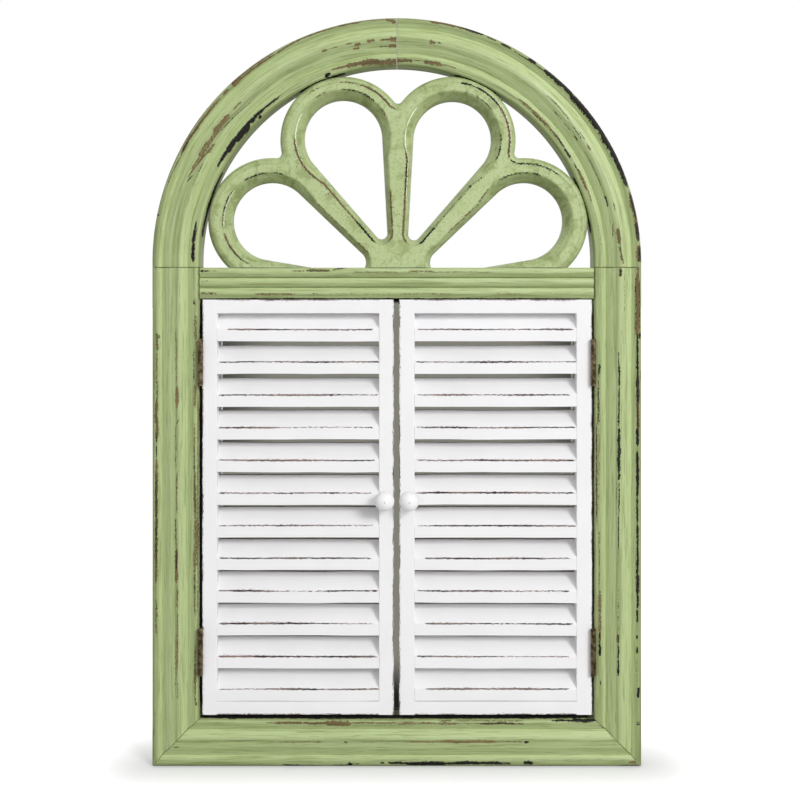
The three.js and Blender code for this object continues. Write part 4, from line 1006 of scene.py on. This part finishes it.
# Each outline gives rings: up its wall, over its edge, and a few just inside the flat face
for (points, normals), middle, shift in zip(outlines, [None, *centres], [None, *HOLE_SHIFTS]):
    if middle is None:
        wide = np.full(len(points), EDGE_IN)
        share, drop = 1 - np.cos(t * math.pi / 2), EDGE_DEEP * (1 - np.sin(t * math.pi / 2))
    else:
        past = np.linalg.norm(points - middle - np.array(shift) * MM, axis=1) - HOLE_RADIUS
        wide = NARROW_SLOPE + (WIDE_SLOPE - NARROW_SLOPE) * np.clip(1 - past / (6 * MM), 0, 1)
        share, drop = t, 8.2 * MM * (1 - t) ** 1.2 + 1.8 * MM * (1 - t) ** 12
    depth = np.concatenate([0 * t[:4] * wide, share * wide, wide + beyond])
    wall = FAN_BACK + (FAN_FRONT - drop[0, 0] - FAN_BACK) * np.linspace(0, 0.9, 4)[:, None]
    height = np.concatenate([wall, FAN_FRONT - drop, np.full((3, 1), FAN_FRONT)]) + 0 * depth
    flat = points[None] - normals[None] * depth[..., None] + np.array([FAN_X, FAN_Z])
    rows, cols = depth.shape
    offset = sum(len(v) for v in vertices)
    vertices.append(np.stack([flat[..., 0], BACK_Y - height, flat[..., 1]], -1).reshape(-1, 3))
    downward = np.maximum(normals @ np.array([-0.5, -0.87]), 0)
    beside.append((depth - wide).ravel())
    arcs.append(np.broadcast_to(distance_round(points), depth.shape).ravel())
    shaded_side.append(np.broadcast_to(downward, depth.shape).ravel())
    faces += (grid_faces(rows, cols) + offset).tolist()
    rims.append((offset, offset + (rows - 1) * cols, cols))
vertices, beside, arcs, shaded_side = (
    np.concatenate(parts) for parts in (vertices, beside, arcs, shaded_side))

# Front and back faces: triangles between the outer ring and the four hole rings
for which in (0, 1):
    loops = [list(range(rim[which], rim[which] + rim[2])) for rim in rims]
    numbers = [number for loop in loops for number in loop]
    flat = [[Vector((vertices[n, 0], vertices[n, 2], 0)) for n in loop] for loop in loops]
    faces += [[numbers[k] for k in triangle] for triangle in tessellate_polygon(flat)]

# Keep the fan inside the arch, a hair off its wall
centre_xz = np.array([0, ARCH_CENTRE_Z])
spoke = vertices[:, [0, 2]] - centre_xz
length = np.linalg.norm(spoke, axis=1)
pull = np.minimum(1, ROOM / np.maximum(length, 1e-9))
vertices[:, [0, 2]] = np.where((vertices[:, 2] > ARCH_CENTRE_Z)[:, None],
                               centre_xz + spoke * pull[:, None], vertices[:, [0, 2]])

# The numbers that the finish reads: wear and grime along the arris where an edge meets the face, a painted
# highlight beside the lit arrises, and painted shade on the slopes that face down and left
arris = np.exp(-((beside / MM - 0.1) / 1.2) ** 2)
highlight_band = np.exp(-((beside / MM + 0.9) / 0.6) ** 2)
place = vertices[:, [0, 2]]
stored = {}
for key, lines in FAN_STROKES.items():
    gone = np.zeros(len(vertices))
    for number, (strength, *corners) in enumerate(lines):
        away = np.min([distance_to(place, a, b) for a, b in zip(corners, corners[1:])], axis=0)
        dashes = 0.78 + 0.6 * wander(arcs / (4 * MM), number, 5) + 0.25 * wander(arcs / (1.2 * MM), number, 6)
        gone = np.maximum(gone, strength * dashes * np.clip(1.8 - away / (4.2 * MM), 0, 1))
    stored[key] = np.clip(gone, 0, 1) * (highlight_band if key == "painted_highlight" else arris)
# Painted shade: slopes that face down and left, away from the key lamp, get more glaze, on top of a random
# glaze
slope_glaze_and_shade = 0.12 + 0.5 * shaded_side + 0.5 * wander(beside / (1.1 * MM), arcs / (18 * MM), 9)
stored["glaze"] = np.where(beside < -0.4 * MM, slope_glaze_and_shade, 0.5 * arris)
stored["bare"] = np.zeros(len(vertices))

mesh = bpy.data.meshes.new("fretwork_fan")
mesh.from_pydata(vertices.tolist(), [], faces)
for key, values in stored.items():
    mesh.attributes.new(key, "FLOAT", "POINT").data.foreach_set("value", values.astype(np.float32))
sawn = bmesh.new()
sawn.from_mesh(mesh)
bmesh.ops.recalc_face_normals(sawn, faces=sawn.faces)
cut = bmesh.ops.bisect_plane(
    sawn, geom=sawn.verts[:] + sawn.edges[:] + sawn.faces[:], dist=1e-6,
    plane_co=(0, 0, ARCH_JOINT_Z + 0.02 * MM), plane_no=(0, 0, 1), clear_inner=True)
edges = [e for e in cut["geom_cut"] if isinstance(e, bmesh.types.BMEdge)]
bmesh.ops.holes_fill(sawn, edges=edges, sides=0)
bmesh.ops.recalc_face_normals(sawn, faces=sawn.faces)
open_edges = sum(1 for e in sawn.edges if not e.is_manifold)
sawn.to_mesh(mesh)
sawn.free()
mesh.shade_smooth()
mesh.set_sharp_from_angle(angle=math.radians(35))
fan = bpy.data.objects.new("fretwork_fan", mesh)
bpy.context.collection.objects.link(fan)
dress(fan, GREEN_FAN, "green_paint", "frame", "fretwork")
print("the fan has", len(mesh.polygons), "faces and", open_edges, "open edges")

# %% [markdown]
# ## The white paint
# The shutters are brushed with a satin white over the same brown stain. Thin lines of it show along
# the arrises where the sanding block went, and there are a few specks. The recipe is the green one's
# smaller sister: fine brush lines, flakes cut from a stored number, and a raised paint edge.

# %% The white paint recipe
def white_paint(name):
    """The white finish, brushed along each piece's UV map."""
    r = Recipe(name)
    where = r.add("TexCoord", output="UV")
    place = r.add("TexCoord", output="Object")
    brushed = r.noise(r.stretched(where, (16, 700, 1)), 1.0, 4.0, 0.6)
    flakes = r.noise(r.stretched(where, (260, 1400, 1)), 1.0, 4.0, 0.7)
    cloud = r.noise(place, 22.0, 3.0, 0.5)
    colour = r.blend(r.times(cloud, 0.8), tone(239, 238, 239), tone(243, 242, 243))
    colour = r.blend(r.times(r.spread(brushed, 0.6, 1.0), 0.2), colour, tone(230, 230, 231))
    ragged = r.times(r.less(flakes, 0.5), 0.9)
    brown = r.spread(r.plus(r.stored("rubbed"), ragged), 0.50, 0.58)
    black = r.spread(r.plus(r.stored("charred"), ragged), 0.50, 0.58)
    stain = r.blend(cloud, tone(70, 50, 40), tone(122, 88, 66))
    colour = r.blend(r.times(brown, 0.9), colour, stain)
    colour = r.blend(r.times(black, 0.9), colour, tone(44, 34, 30))
    worn = r.most(brown, black)
    height = r.less(r.times(brushed, 0.10), worn)
    rough = r.spread(worn, 0.0, 1.0, 0.52, 0.75)
    return r.finish(colour, rough, height, 0.00012, Specular_IOR_Level=0.22)


WHITE = white_paint("worn_white_paint")
print("the white finish has", len(WHITE.node_tree.nodes), "nodes")

# %% [markdown]
# ## Door members
# Each stile and rail is a rounded rectangle carried along its length. The arrises are eased by less
# than a millimetre and nibbled by hand sanding, so every point near a corner is drawn in a little by
# a random amount. The paint is rubbed there too.

# %% Stiles and rails of the doors
def eased_rectangle(width, depth, ease, step=1.6 * MM):
    """A rectangle centred on zero with its corners turned on a small radius, and a number for how
    near each point is to a corner. Returns the points, the nearness and the corner's number."""
    points, near, corner_number = [], [], []
    corners = [(1, -1), (1, 1), (-1, 1), (-1, -1)]
    for number, (sx, sy) in enumerate(corners):
        centre = np.array([sx * (width / 2 - ease), sy * (depth / 2 - ease)])
        start = math.atan2(sy, sx) - math.pi / 4
        angle = np.linspace(start, start + math.pi / 2, 5)
        turn = centre + ease * np.stack([np.cos(angle), np.sin(angle)], -1)
        following = corners[(number + 1) % 4]
        target = np.array([following[0] * (width / 2 - ease), following[1] * (depth / 2 - ease)])
        last = start + math.pi / 2
        end = target + ease * np.array([math.cos(last), math.sin(last)])
        count = max(4, int(np.hypot(*(end - turn[-1])) / step))
        way = (1 - np.cos(np.linspace(0, math.pi, count + 1)[1:-1])) / 2
        side = turn[-1] + (end - turn[-1]) * way[:, None]
        points += [turn, side]
        from_corner = np.minimum(way, 1 - way) * np.hypot(*(end - turn[-1]))
        near += [np.ones(5), np.clip(1 - from_corner / (1.2 * MM), 0, 1)]
        corner_number += [np.full(5, number), np.where(way < 0.5, number, (number + 1) % 4)]
    return np.concatenate(points), np.concatenate(near), np.concatenate(corner_number)


MEMBER_EASE = 0.6 * MM


def door_member(name, box, axis, wear, seed, joints=(), inner=1):
    """A door stile (axis 2) or rail (axis 0) that fills a box, with nibbled and worn arrises.

    wear gives each corner of the section its strength: front right, back right, back left and
    front left for a stile, and front top, back top, back bottom and front bottom for a rail.
    joints are the stretches where rails meet a stile's inner side, which stays sharp there.
    """
    (x0, y0, z0), (x1, y1, z1) = box
    if axis == 2:
        width, start, end, middle = x1 - x0, z0, z1, ((x0 + x1) / 2, (y0 + y1) / 2)
    else:
        width, start, end, middle = z1 - z0, x0, x1, ((z0 + z1) / 2, (y0 + y1) / 2)
    outline, near, number = eased_rectangle(width, y1 - y0, MEMBER_EASE)
    way = stations(start, end, 1.2 * MM)
    grid = np.broadcast_to(outline, (len(way), *outline.shape)).copy()
    sharp = np.where((near == 1)[:, None], np.sign(outline) * np.array([width, y1 - y0]) / 2, outline)
    joined = np.zeros(grid.shape[:2])
    for low, high in joints:
        joined += ((way > low) & (way < high))[:, None] * (outline[:, 0] * inner > 0)[None, :]
    grid += (sharp - outline)[None] * joined[..., None]
    nibble = (wander(way[:, None] / (5 * MM), number[None, :], seed) ** 2 * 0.20
              + wander(way[:, None] / (1.7 * MM), number[None, :] + 20, seed) ** 3 * 0.16) * MM
    towards = -outline / np.maximum(np.linalg.norm(outline, axis=1, keepdims=True), 1e-9)
    grid += towards[None] * (nibble * near[None, :] * (1 - joined))[..., None]
    along = np.broadcast_to(way[:, None], grid.shape[:2])
    w, d = grid[..., 0] + middle[0], grid[..., 1] + middle[1]
    points = np.stack([w, d, along] if axis == 2 else [along, d, w], -1)
    strength = np.array(wear)[number][None, :]
    patchy = wander(way[:, None] / (13 * MM), number[None, :] + 40, seed)
    scorched = wander(way[:, None] / (9 * MM), number[None, :] + 60, seed) - 0.45
    rubbed = np.clip(strength * near[None, :] * (0.35 + 0.95 * patchy), 0, 1)
    charred = np.clip(strength * near[None, :] * 1.5 * scorched, 0, 1)
    return skin(name, points, along + seed * 0.29, distance_round(outline) + seed * 0.113,
                rubbed=rubbed * (1 - joined), charred=charred * (1 - joined))


# The doors reach a little higher at the top and the foot, and wider on both sides, than the measured
# ones, so that the dark gaps round them have the widths that the picture shows
DOOR = {}
GROWN_TOP, RAISED_FOOT = 1.4 * MM, 0.8 * MM
GROWN_SIDE = {"left": 0.2 * MM, "right": 0.9 * MM}
for side_name, side in SIDES.items():
    body = f"{side_name}_door"
    for part in ("hinge_stile", "meeting_stile", "top_rail", "bottom_rail"):
        low, high = (np.array(corner, float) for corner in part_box(f"{side_name}_{part}"))
        high[2] += GROWN_TOP * (part != "bottom_rail")
        low[2] += RAISED_FOOT * (part != "top_rail")
        outer = (part == "hinge_stile") == (side > 0)
        if part.endswith("stile"):
            low[0] -= GROWN_SIDE[side_name] * (not outer)
            high[0] += GROWN_SIDE[side_name] * outer
        DOOR[f"{side_name}_{part}"] = (low, high)
    hinge, meeting = DOOR[f"{side_name}_hinge_stile"], DOOR[f"{side_name}_meeting_stile"]
    left_stile, right_stile = (meeting, hinge) if side > 0 else (hinge, meeting)
    rails = [DOOR[f"{side_name}_{part}"] for part in ("bottom_rail", "top_rail")]
    joints = [(low[2] - 0.1 * MM, high[2] + 0.1 * MM) for low, high in rails]
    for seed, part in enumerate(("hinge_stile", "meeting_stile", "top_rail", "bottom_rail")):
        node = f"{side_name}_{part}"
        low, high = DOOR[node]
        if part.endswith("rail"):
            low[0], high[0] = left_stile[1][0], right_stile[0][0]
            wear = (0.62, 0.2, 0.2, 0.10) if part == "top_rail" else (0.15, 0.2, 0.2, 0.75)
            member = door_member(f"shutter_{node}", (low, high), 0, wear, 5 * seed + side)
        else:
            outer = (part == "hinge_stile") == (side > 0)
            wear = (0.72, 0.45, 0.0, 0.06) if outer else (0.06, 0.0, 0.45, 0.72)
            member = door_member(f"shutter_{node}", (low, high), 2, wear, 5 * seed + side,
                                 joints, -1 if outer else 1)
        dress(member, WHITE, "white_paint", body, node)
print("door stiles are", round(float(high[2] - low[2]), 4), "m, made for", len(DOOR) // 2, "members a door")

# %% [markdown]
# ## Slats
# A slat's section is a parallelogram: an upright front edge, and a top that climbs at 45 degrees to
# the back. Twelve of them fill each door. The arris where the top meets the front edge was sanded, so
# a thin brown line runs along nearly all of it, stronger here and fainter there, different on every
# slat.

# %% Make the slats
SLAT_DEPTH, SLAT_RISE, SLAT_FACE = 16 * MM, 16.0 * MM, 12.4 * MM
EASE = 0.45 * MM


def slat_outline():
    """The parallelogram with eased corners, as [depth, height] points, and each point's distance
    from the front top arris and from the front bottom one."""
    corners = np.array([[0, 0], [SLAT_DEPTH, SLAT_RISE],
                        [SLAT_DEPTH, SLAT_RISE + SLAT_FACE], [0, SLAT_FACE]])
    points = []
    for number in range(4):
        here, before, after = corners[number], corners[number - 1], corners[(number + 1) % 4]
        inward = [(before - here) / np.hypot(*(before - here)), (after - here) / np.hypot(*(after - here))]
        t = np.linspace(0, 1, 4)[:, None]
        a, b = here + inward[0] * EASE, here + inward[1] * EASE
        points.append((1 - t) ** 2 * a + 2 * t * (1 - t) * here + t ** 2 * b)
        end = after + (here - after) / np.hypot(*(here - after)) * EASE
        count = 9
        way = (1 - np.cos(np.linspace(0, math.pi, count + 1)[1:-1])) / 2
        points.append(b + (end - b) * way[:, None])
    outline = np.concatenate(points)
    return outline, *(np.hypot(*(outline - corner).T) for corner in (corners[3], corners[0]))


outline, from_top, from_bottom = slat_outline()
for side_name, side in SIDES.items():
    rail_low, rail_high = DOOR[f"{side_name}_top_rail"]
    for number in range(1, 13):
        node = f"{side_name}_slat_{number:02d}"
        low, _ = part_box(node)
        front_y, z = float(low[1]), float(low[2])
        seed = number + (40 if side > 0 else 0)
        start, end = rail_low[0], rail_high[0]
        way = stations(start, end, 1.5 * MM)
        x = np.broadcast_to(way[:, None], (len(way), len(outline)))
        share = (x - start) / (end - start)
        sag = (0.5 * (wander(share * 1.6, 1, seed) - 0.5) + 0.5 * (wander(share * 5, 2, seed) - 0.5)) * MM
        nibble = wander(x / (4 * MM), 3, seed) ** 3 * 0.35 * MM * np.exp(-from_top / (0.6 * MM))[None, :]
        y = front_y + outline[None, :, 0] + nibble + 0.25 * MM * (wander(share * 3, 4, seed) - 0.5)
        points = grid_of(x, y, z + outline[None, :, 1] + sag - nibble)
        strong = wander(share * 4.5, 7, seed)
        first, last = 0.05 * (wander(0, 8, seed) > 0.6), 1.02 - 0.06 * wander(1, 8, seed)
        ends = np.clip(np.minimum(share - first, last - share) * 40, 0, 1)
        line_wear = (0.62 + 0.45 * strong) * ends
        near = np.clip(1.35 - from_top / ((0.75 + 0.45 * strong) * MM), 0, 1)
        under = np.clip(1.1 - from_bottom / (0.5 * MM), 0, 1)[None, :]
        under = under * 1.4 * (wander(x / (7 * MM), 9, seed) - 0.66)
        dark = np.clip(near * (wander(share * 7, 12, seed) - 0.22) * 1.5 * ends, 0, 1)
        slat = skin(f"shutter_{node}", points, x + number * 0.31, distance_round(outline),
                    rubbed=np.clip(line_wear * near, 0, 1),
                    charred=np.maximum(dark, np.clip(under, 0, 1)))
        dress(slat, WHITE, "white_paint", f"{side_name}_door", node)
print("each slat has", len(way) * len(outline), "points")

# %% [markdown]
# ## Turned pieces
# The knobs, the hinge pins and the hinge knuckles are all turned shapes: a profile of radius and
# reach, carried round an axis. At angle a the point is radius * cos a to one side and
# radius * sin a to the other. A knob keeps a small dimple from the lathe's centre.

# %% The turning helper
def turned(name, profile, centre, axis, sides=48, **stored):
    """A profile of [radius, reach] points turned about a line through centre along an axis."""
    profile = np.array(profile, float)
    axis = np.array(axis, float)
    side = np.cross(axis, (0, 0, 1)) if abs(axis[2]) < 0.5 else np.array([1.0, 0, 0])
    other = np.cross(axis, side)
    angle = np.linspace(0, 2 * math.pi, sides, endpoint=False)
    round_ = np.cos(angle)[:, None] * side + np.sin(angle)[:, None] * other
    points = np.array(centre) + profile[:, None, :1] * round_[None] + profile[:, None, 1:] * axis
    along = np.broadcast_to(profile[:, 1:], (len(profile), sides))
    across = np.broadcast_to(angle * 0.003, (len(profile), sides))
    values = {key: np.broadcast_to(np.array(v)[:, None], (len(profile), sides)) for key, v in stored.items()}
    return skin(name, points, along, across, 50, **values)


# %% Make the knobs
NECK, FOOT_RADIUS = 4.2 * MM, 4.8 * MM
DIMPLE_ANGLE = 0.055  # how far from the tip the ball ends, in radians
OFF_DOOR = 0.05 * MM
for side_name, side in SIDES.items():
    low, high = (np.array(corner, float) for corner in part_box(f"{side_name}_knob"))
    front = float(DOOR[f"{side_name}_meeting_stile"][0][1])
    radius = (high[0] - low[0]) / 2
    centre_reach = front - low[1] - radius
    angle = np.linspace(math.asin(NECK / radius), math.pi - DIMPLE_ANGLE, 40)
    profile = [[0.0004 * MM, OFF_DOOR], [FOOT_RADIUS, OFF_DOOR], [FOOT_RADIUS, 0.9 * MM],
               [NECK, 1.7 * MM]]
    profile += [[radius * math.sin(a), centre_reach - radius * math.cos(a)] for a in angle]
    tip = centre_reach + radius
    profile += [[0.38 * MM, tip - 0.12 * MM], [0.25 * MM, tip - 0.6 * MM], [0.001 * MM, tip - 0.7 * MM]]
    dimple = np.zeros(len(profile))
    dimple[-3:] = 1
    place = ((low[0] + high[0]) / 2, front, (low[2] + high[2]) / 2)
    knob = turned(f"turned_knob_{side_name}", profile, place, (0, -1, 0), 64,
                  rubbed=np.zeros(len(profile)), charred=dimple)
    dress(knob, WHITE, "white_paint", f"{side_name}_door", f"{side_name}_knob")
print("knobs are", round(2 * radius / MM, 2), "mm across")

# %% [markdown]
# ## Metal
# The hinges are bronzed steel: dark and almost matt.
# The screws and hanger plates are zinc plated. Both finishes have faint scratches, and the bronze
# varies in clouds.

# %% The metal recipes
def metal(name, dark, bright, rough, clouds):
    """A metal that varies between two tones in clouds of a given scale, with hair scratches."""
    r = Recipe(name)
    place = r.add("TexCoord", output="Object")
    cloud = r.noise(place, clouds, 4.0, 0.6)
    hair = r.noise(r.stretched(place, (2400, 2400, 120)), 1.0, 3.0, 0.6)
    colour = r.blend(r.spread(cloud, 0.1, 0.9), dark, bright)
    roughness = r.spread(r.plus(cloud, hair), 0.2, 1.8, rough - 0.08, rough + 0.12)
    return r.finish(colour, roughness, hair, 0.00002, Metallic=0.85)


BRONZE = metal("rubbed_dark_bronze", tone(82, 68, 48), tone(150, 132, 104), 0.36, 200.0)
ZINC = metal("zinc_plated_steel", tone(168, 168, 164), tone(200, 200, 196), 0.34, 160.0)
print("the metals are", BRONZE.name, "and", ZINC.name)

# %% [markdown]
# ## Hinges
# Each butt hinge has a leaf on the frame with two knuckles, a leaf on the door with the middle one,
# and a headed pin. A leaf is a plate with eased arrises and a curl that runs into its knuckles.

# %% Make the hinges
def block(name, low, high, ease=0.15 * MM):
    """A box with eased arrises, from its rounded section carried up its height."""
    low, high = np.array(low, float), np.array(high, float)
    width, depth = high[0] - low[0], high[1] - low[1]
    outline, _, _ = eased_rectangle(width, depth, min(ease, width / 2.2, depth / 2.2), 3 * MM)
    middle = (low + high)[:2] / 2
    heights = np.r_[low[2], low[2] + ease, high[2] - ease, high[2]]
    shrink = np.array([ease, 0, 0, ease])
    scale = 1 - shrink[:, None, None] * 2 / np.array([width, depth])
    flat = outline[None] * scale + middle
    z = np.broadcast_to(heights[:, None, None], (*flat.shape[:2], 1))
    points = np.concatenate([flat, z], -1)
    along = np.broadcast_to(heights[:, None], flat.shape[:2])
    return skin(name, points, along, np.broadcast_to(distance_round(outline), along.shape))


def join(name, pieces):
    """Several meshes as one object, which keeps each of their surfaces as it is."""
    whole = bmesh.new()
    for piece in pieces:
        whole.from_mesh(piece.data)
        bpy.data.objects.remove(piece)
    mesh = bpy.data.meshes.new(name)
    whole.to_mesh(mesh)
    whole.free()
    mesh.shade_smooth()
    mesh.set_sharp_from_angle(angle=math.radians(40))
    result = bpy.data.objects.new(name, mesh)
    bpy.context.collection.objects.link(result)
    return result


def knuckle(name, x, y, low, high, radius):
    """A hinge knuckle with its rims eased."""
    rim = 0.25 * MM
    profile = [[0.0002 * MM, low], [radius - rim, low], [radius, low + rim],
               [radius, high - rim], [radius - rim, high], [0.0002 * MM, high]]
    return turned(name, profile, (x, y, 0), (0, 0, 1), 36)


KNUCKLE_RADIUS, KNUCKLE_GAP = 2.7 * MM, 0.4 * MM
LEAF_THICKNESS, PIN_HEAD = 0.9 * MM, 0.5 * MM
LEAF_PROUD = 0.2 * MM  # how far a leaf's face stands out of the stile's
for side_name, side in SIDES.items():
    for level_name in ("lower", "upper"):
        pin_low, pin_high = (np.array(c, float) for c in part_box(f"{side_name}_hinge_pin_{level_name}"))
        axis_x, axis_y = ((pin_low + pin_high) / 2)[:2]
        bottom, top = pin_low[2], pin_high[2]
        length = (top - bottom - 2 * KNUCKLE_GAP) / 3
        for owner in ("frame", "door"):
            node = f"{side_name}_{owner}_leaf_{level_name}"
            _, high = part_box(node)
            near_frame = owner == "frame"
            stile_edge = float(DOOR[f"{side_name}_hinge_stile"][1 if side > 0 else 0][0])
            if near_frame:
                x_here = side * (INNER_RADIUS - LEAF_PROUD - LEAF_THICKNESS / 2)
            else:
                x_here = stile_edge - side * (GROWN_SIDE[side_name] - LEAF_PROUD - LEAF_THICKNESS / 2)
            plate_x = (x_here - LEAF_THICKNESS / 2, x_here + LEAF_THICKNESS / 2)
            parts = [block("plate", (plate_x[0], axis_y + KNUCKLE_RADIUS + 0.5 * MM, bottom),
                           (plate_x[1], float(high[1]), top))]
            for i in ((0, 2) if near_frame else (1,)):
                start = bottom + i * (length + KNUCKLE_GAP)
                parts.append(knuckle("knuckle", axis_x, axis_y, start, start + length, KNUCKLE_RADIUS))
                parts.append(block("curl", (plate_x[0], axis_y, start),
                                   (plate_x[1], axis_y + KNUCKLE_RADIUS + 1.2 * MM, start + length)))
            leaf = join(f"hinge_leaf_{side_name}_{owner}_{level_name}", parts)
            dress(leaf, BRONZE, "dark_bronze", "frame" if near_frame else f"{side_name}_door", node)
        profile = [[0.0002 * MM, bottom - PIN_HEAD], [1.5 * MM, bottom - PIN_HEAD],
                   [2.0 * MM, bottom - 0.1 * MM], [1.5 * MM, bottom],
                   [1.5 * MM, top], [2.1 * MM, top + 0.1 * MM],
                   [1.7 * MM, top + PIN_HEAD], [0.0002 * MM, top + PIN_HEAD]]
        pin = turned(f"hinge_pin_{side_name}_{level_name}", profile, (axis_x, axis_y, 0), (0, 0, 1), 32)
        dress(pin, BRONZE, "dark_bronze", "frame", f"{side_name}_hinge_pin_{level_name}")
print("hinge barrels are", round((top - bottom) / MM, 1), "mm long")

# %% [markdown]
# ## Glass, board and hangers
# The mirror is silvered glass, seen in the slit between the doors and when they open. Its silvering
# has gone a little cloudy. Above the doors and beside their hinge edges it is painted near black, as shade in
# the gaps. Hardboard closes the back.

# %% Make the glass and the board
CLEAR_TOP, DARK_TOP = 0.472, 0.475
CLEAR_SIDE, DARK_SIDE = 0.1965, 0.1985
r = Recipe("silvered_glass_with_painted_shade")
place = r.add("TexCoord", output="Object")
cloud = r.noise(place, 9.0, 4.0, 0.6)
foxing = r.spread(r.noise(place, 120.0, 5.0, 0.7), 0.9, 1.0)
colour = r.blend(r.times(foxing, 0.4), tone(220, 219, 213), tone(150, 148, 140))
apart = r.add("SeparateXYZ", {0: place})
# Painted shade: the glass turns near black above the doors and beside their hinge edges, where it is seen
# through the gaps
painted_shade_margin = r.most(r.spread(apart.node.outputs["Z"], CLEAR_TOP, DARK_TOP),
                r.spread(r.math("ABSOLUTE", apart), CLEAR_SIDE, DARK_SIDE))
colour = r.blend(painted_shade_margin, colour, tone(30, 29, 22))
MIRROR = r.finish(colour, r.spread(cloud, 0.0, 1.0, 0.02, 0.05), Metallic=1.0)

r = Recipe("hardboard")
place = r.add("TexCoord", output="Object")
fibre = r.noise(place, 900.0, 4.0, 0.7)
cloud = r.noise(place, 18.0, 4.0, 0.6)
colour = r.blend(cloud, tone(112, 80, 52), tone(140, 104, 70))
colour = r.blend(r.times(fibre, 0.5), colour, tone(92, 64, 42))
HARDBOARD = r.finish(colour, 0.8, fibre, 0.00008)

for node, material, slot in (("mirror_glass", MIRROR, "mirror"), ("backing_board", HARDBOARD, "hardboard")):
    low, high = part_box(node)
    pane = block(f"{node}_pane", low, high, 0.4 * MM)
    dress(pane, material, slot, "frame", node)
print("the pane and the board have the finishes", MIRROR.name, "and", HARDBOARD.name)

# %% Plain finishes for what stays from the measured model
plated = [piece for name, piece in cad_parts.items()
          if name.startswith("hanger") or name.endswith("knob_screw")]
for piece in plated:
    piece.data.materials.clear()
    piece.data.materials.append(ZINC)
print(len(plated), "measured pieces keep their shape and are zinc plated")
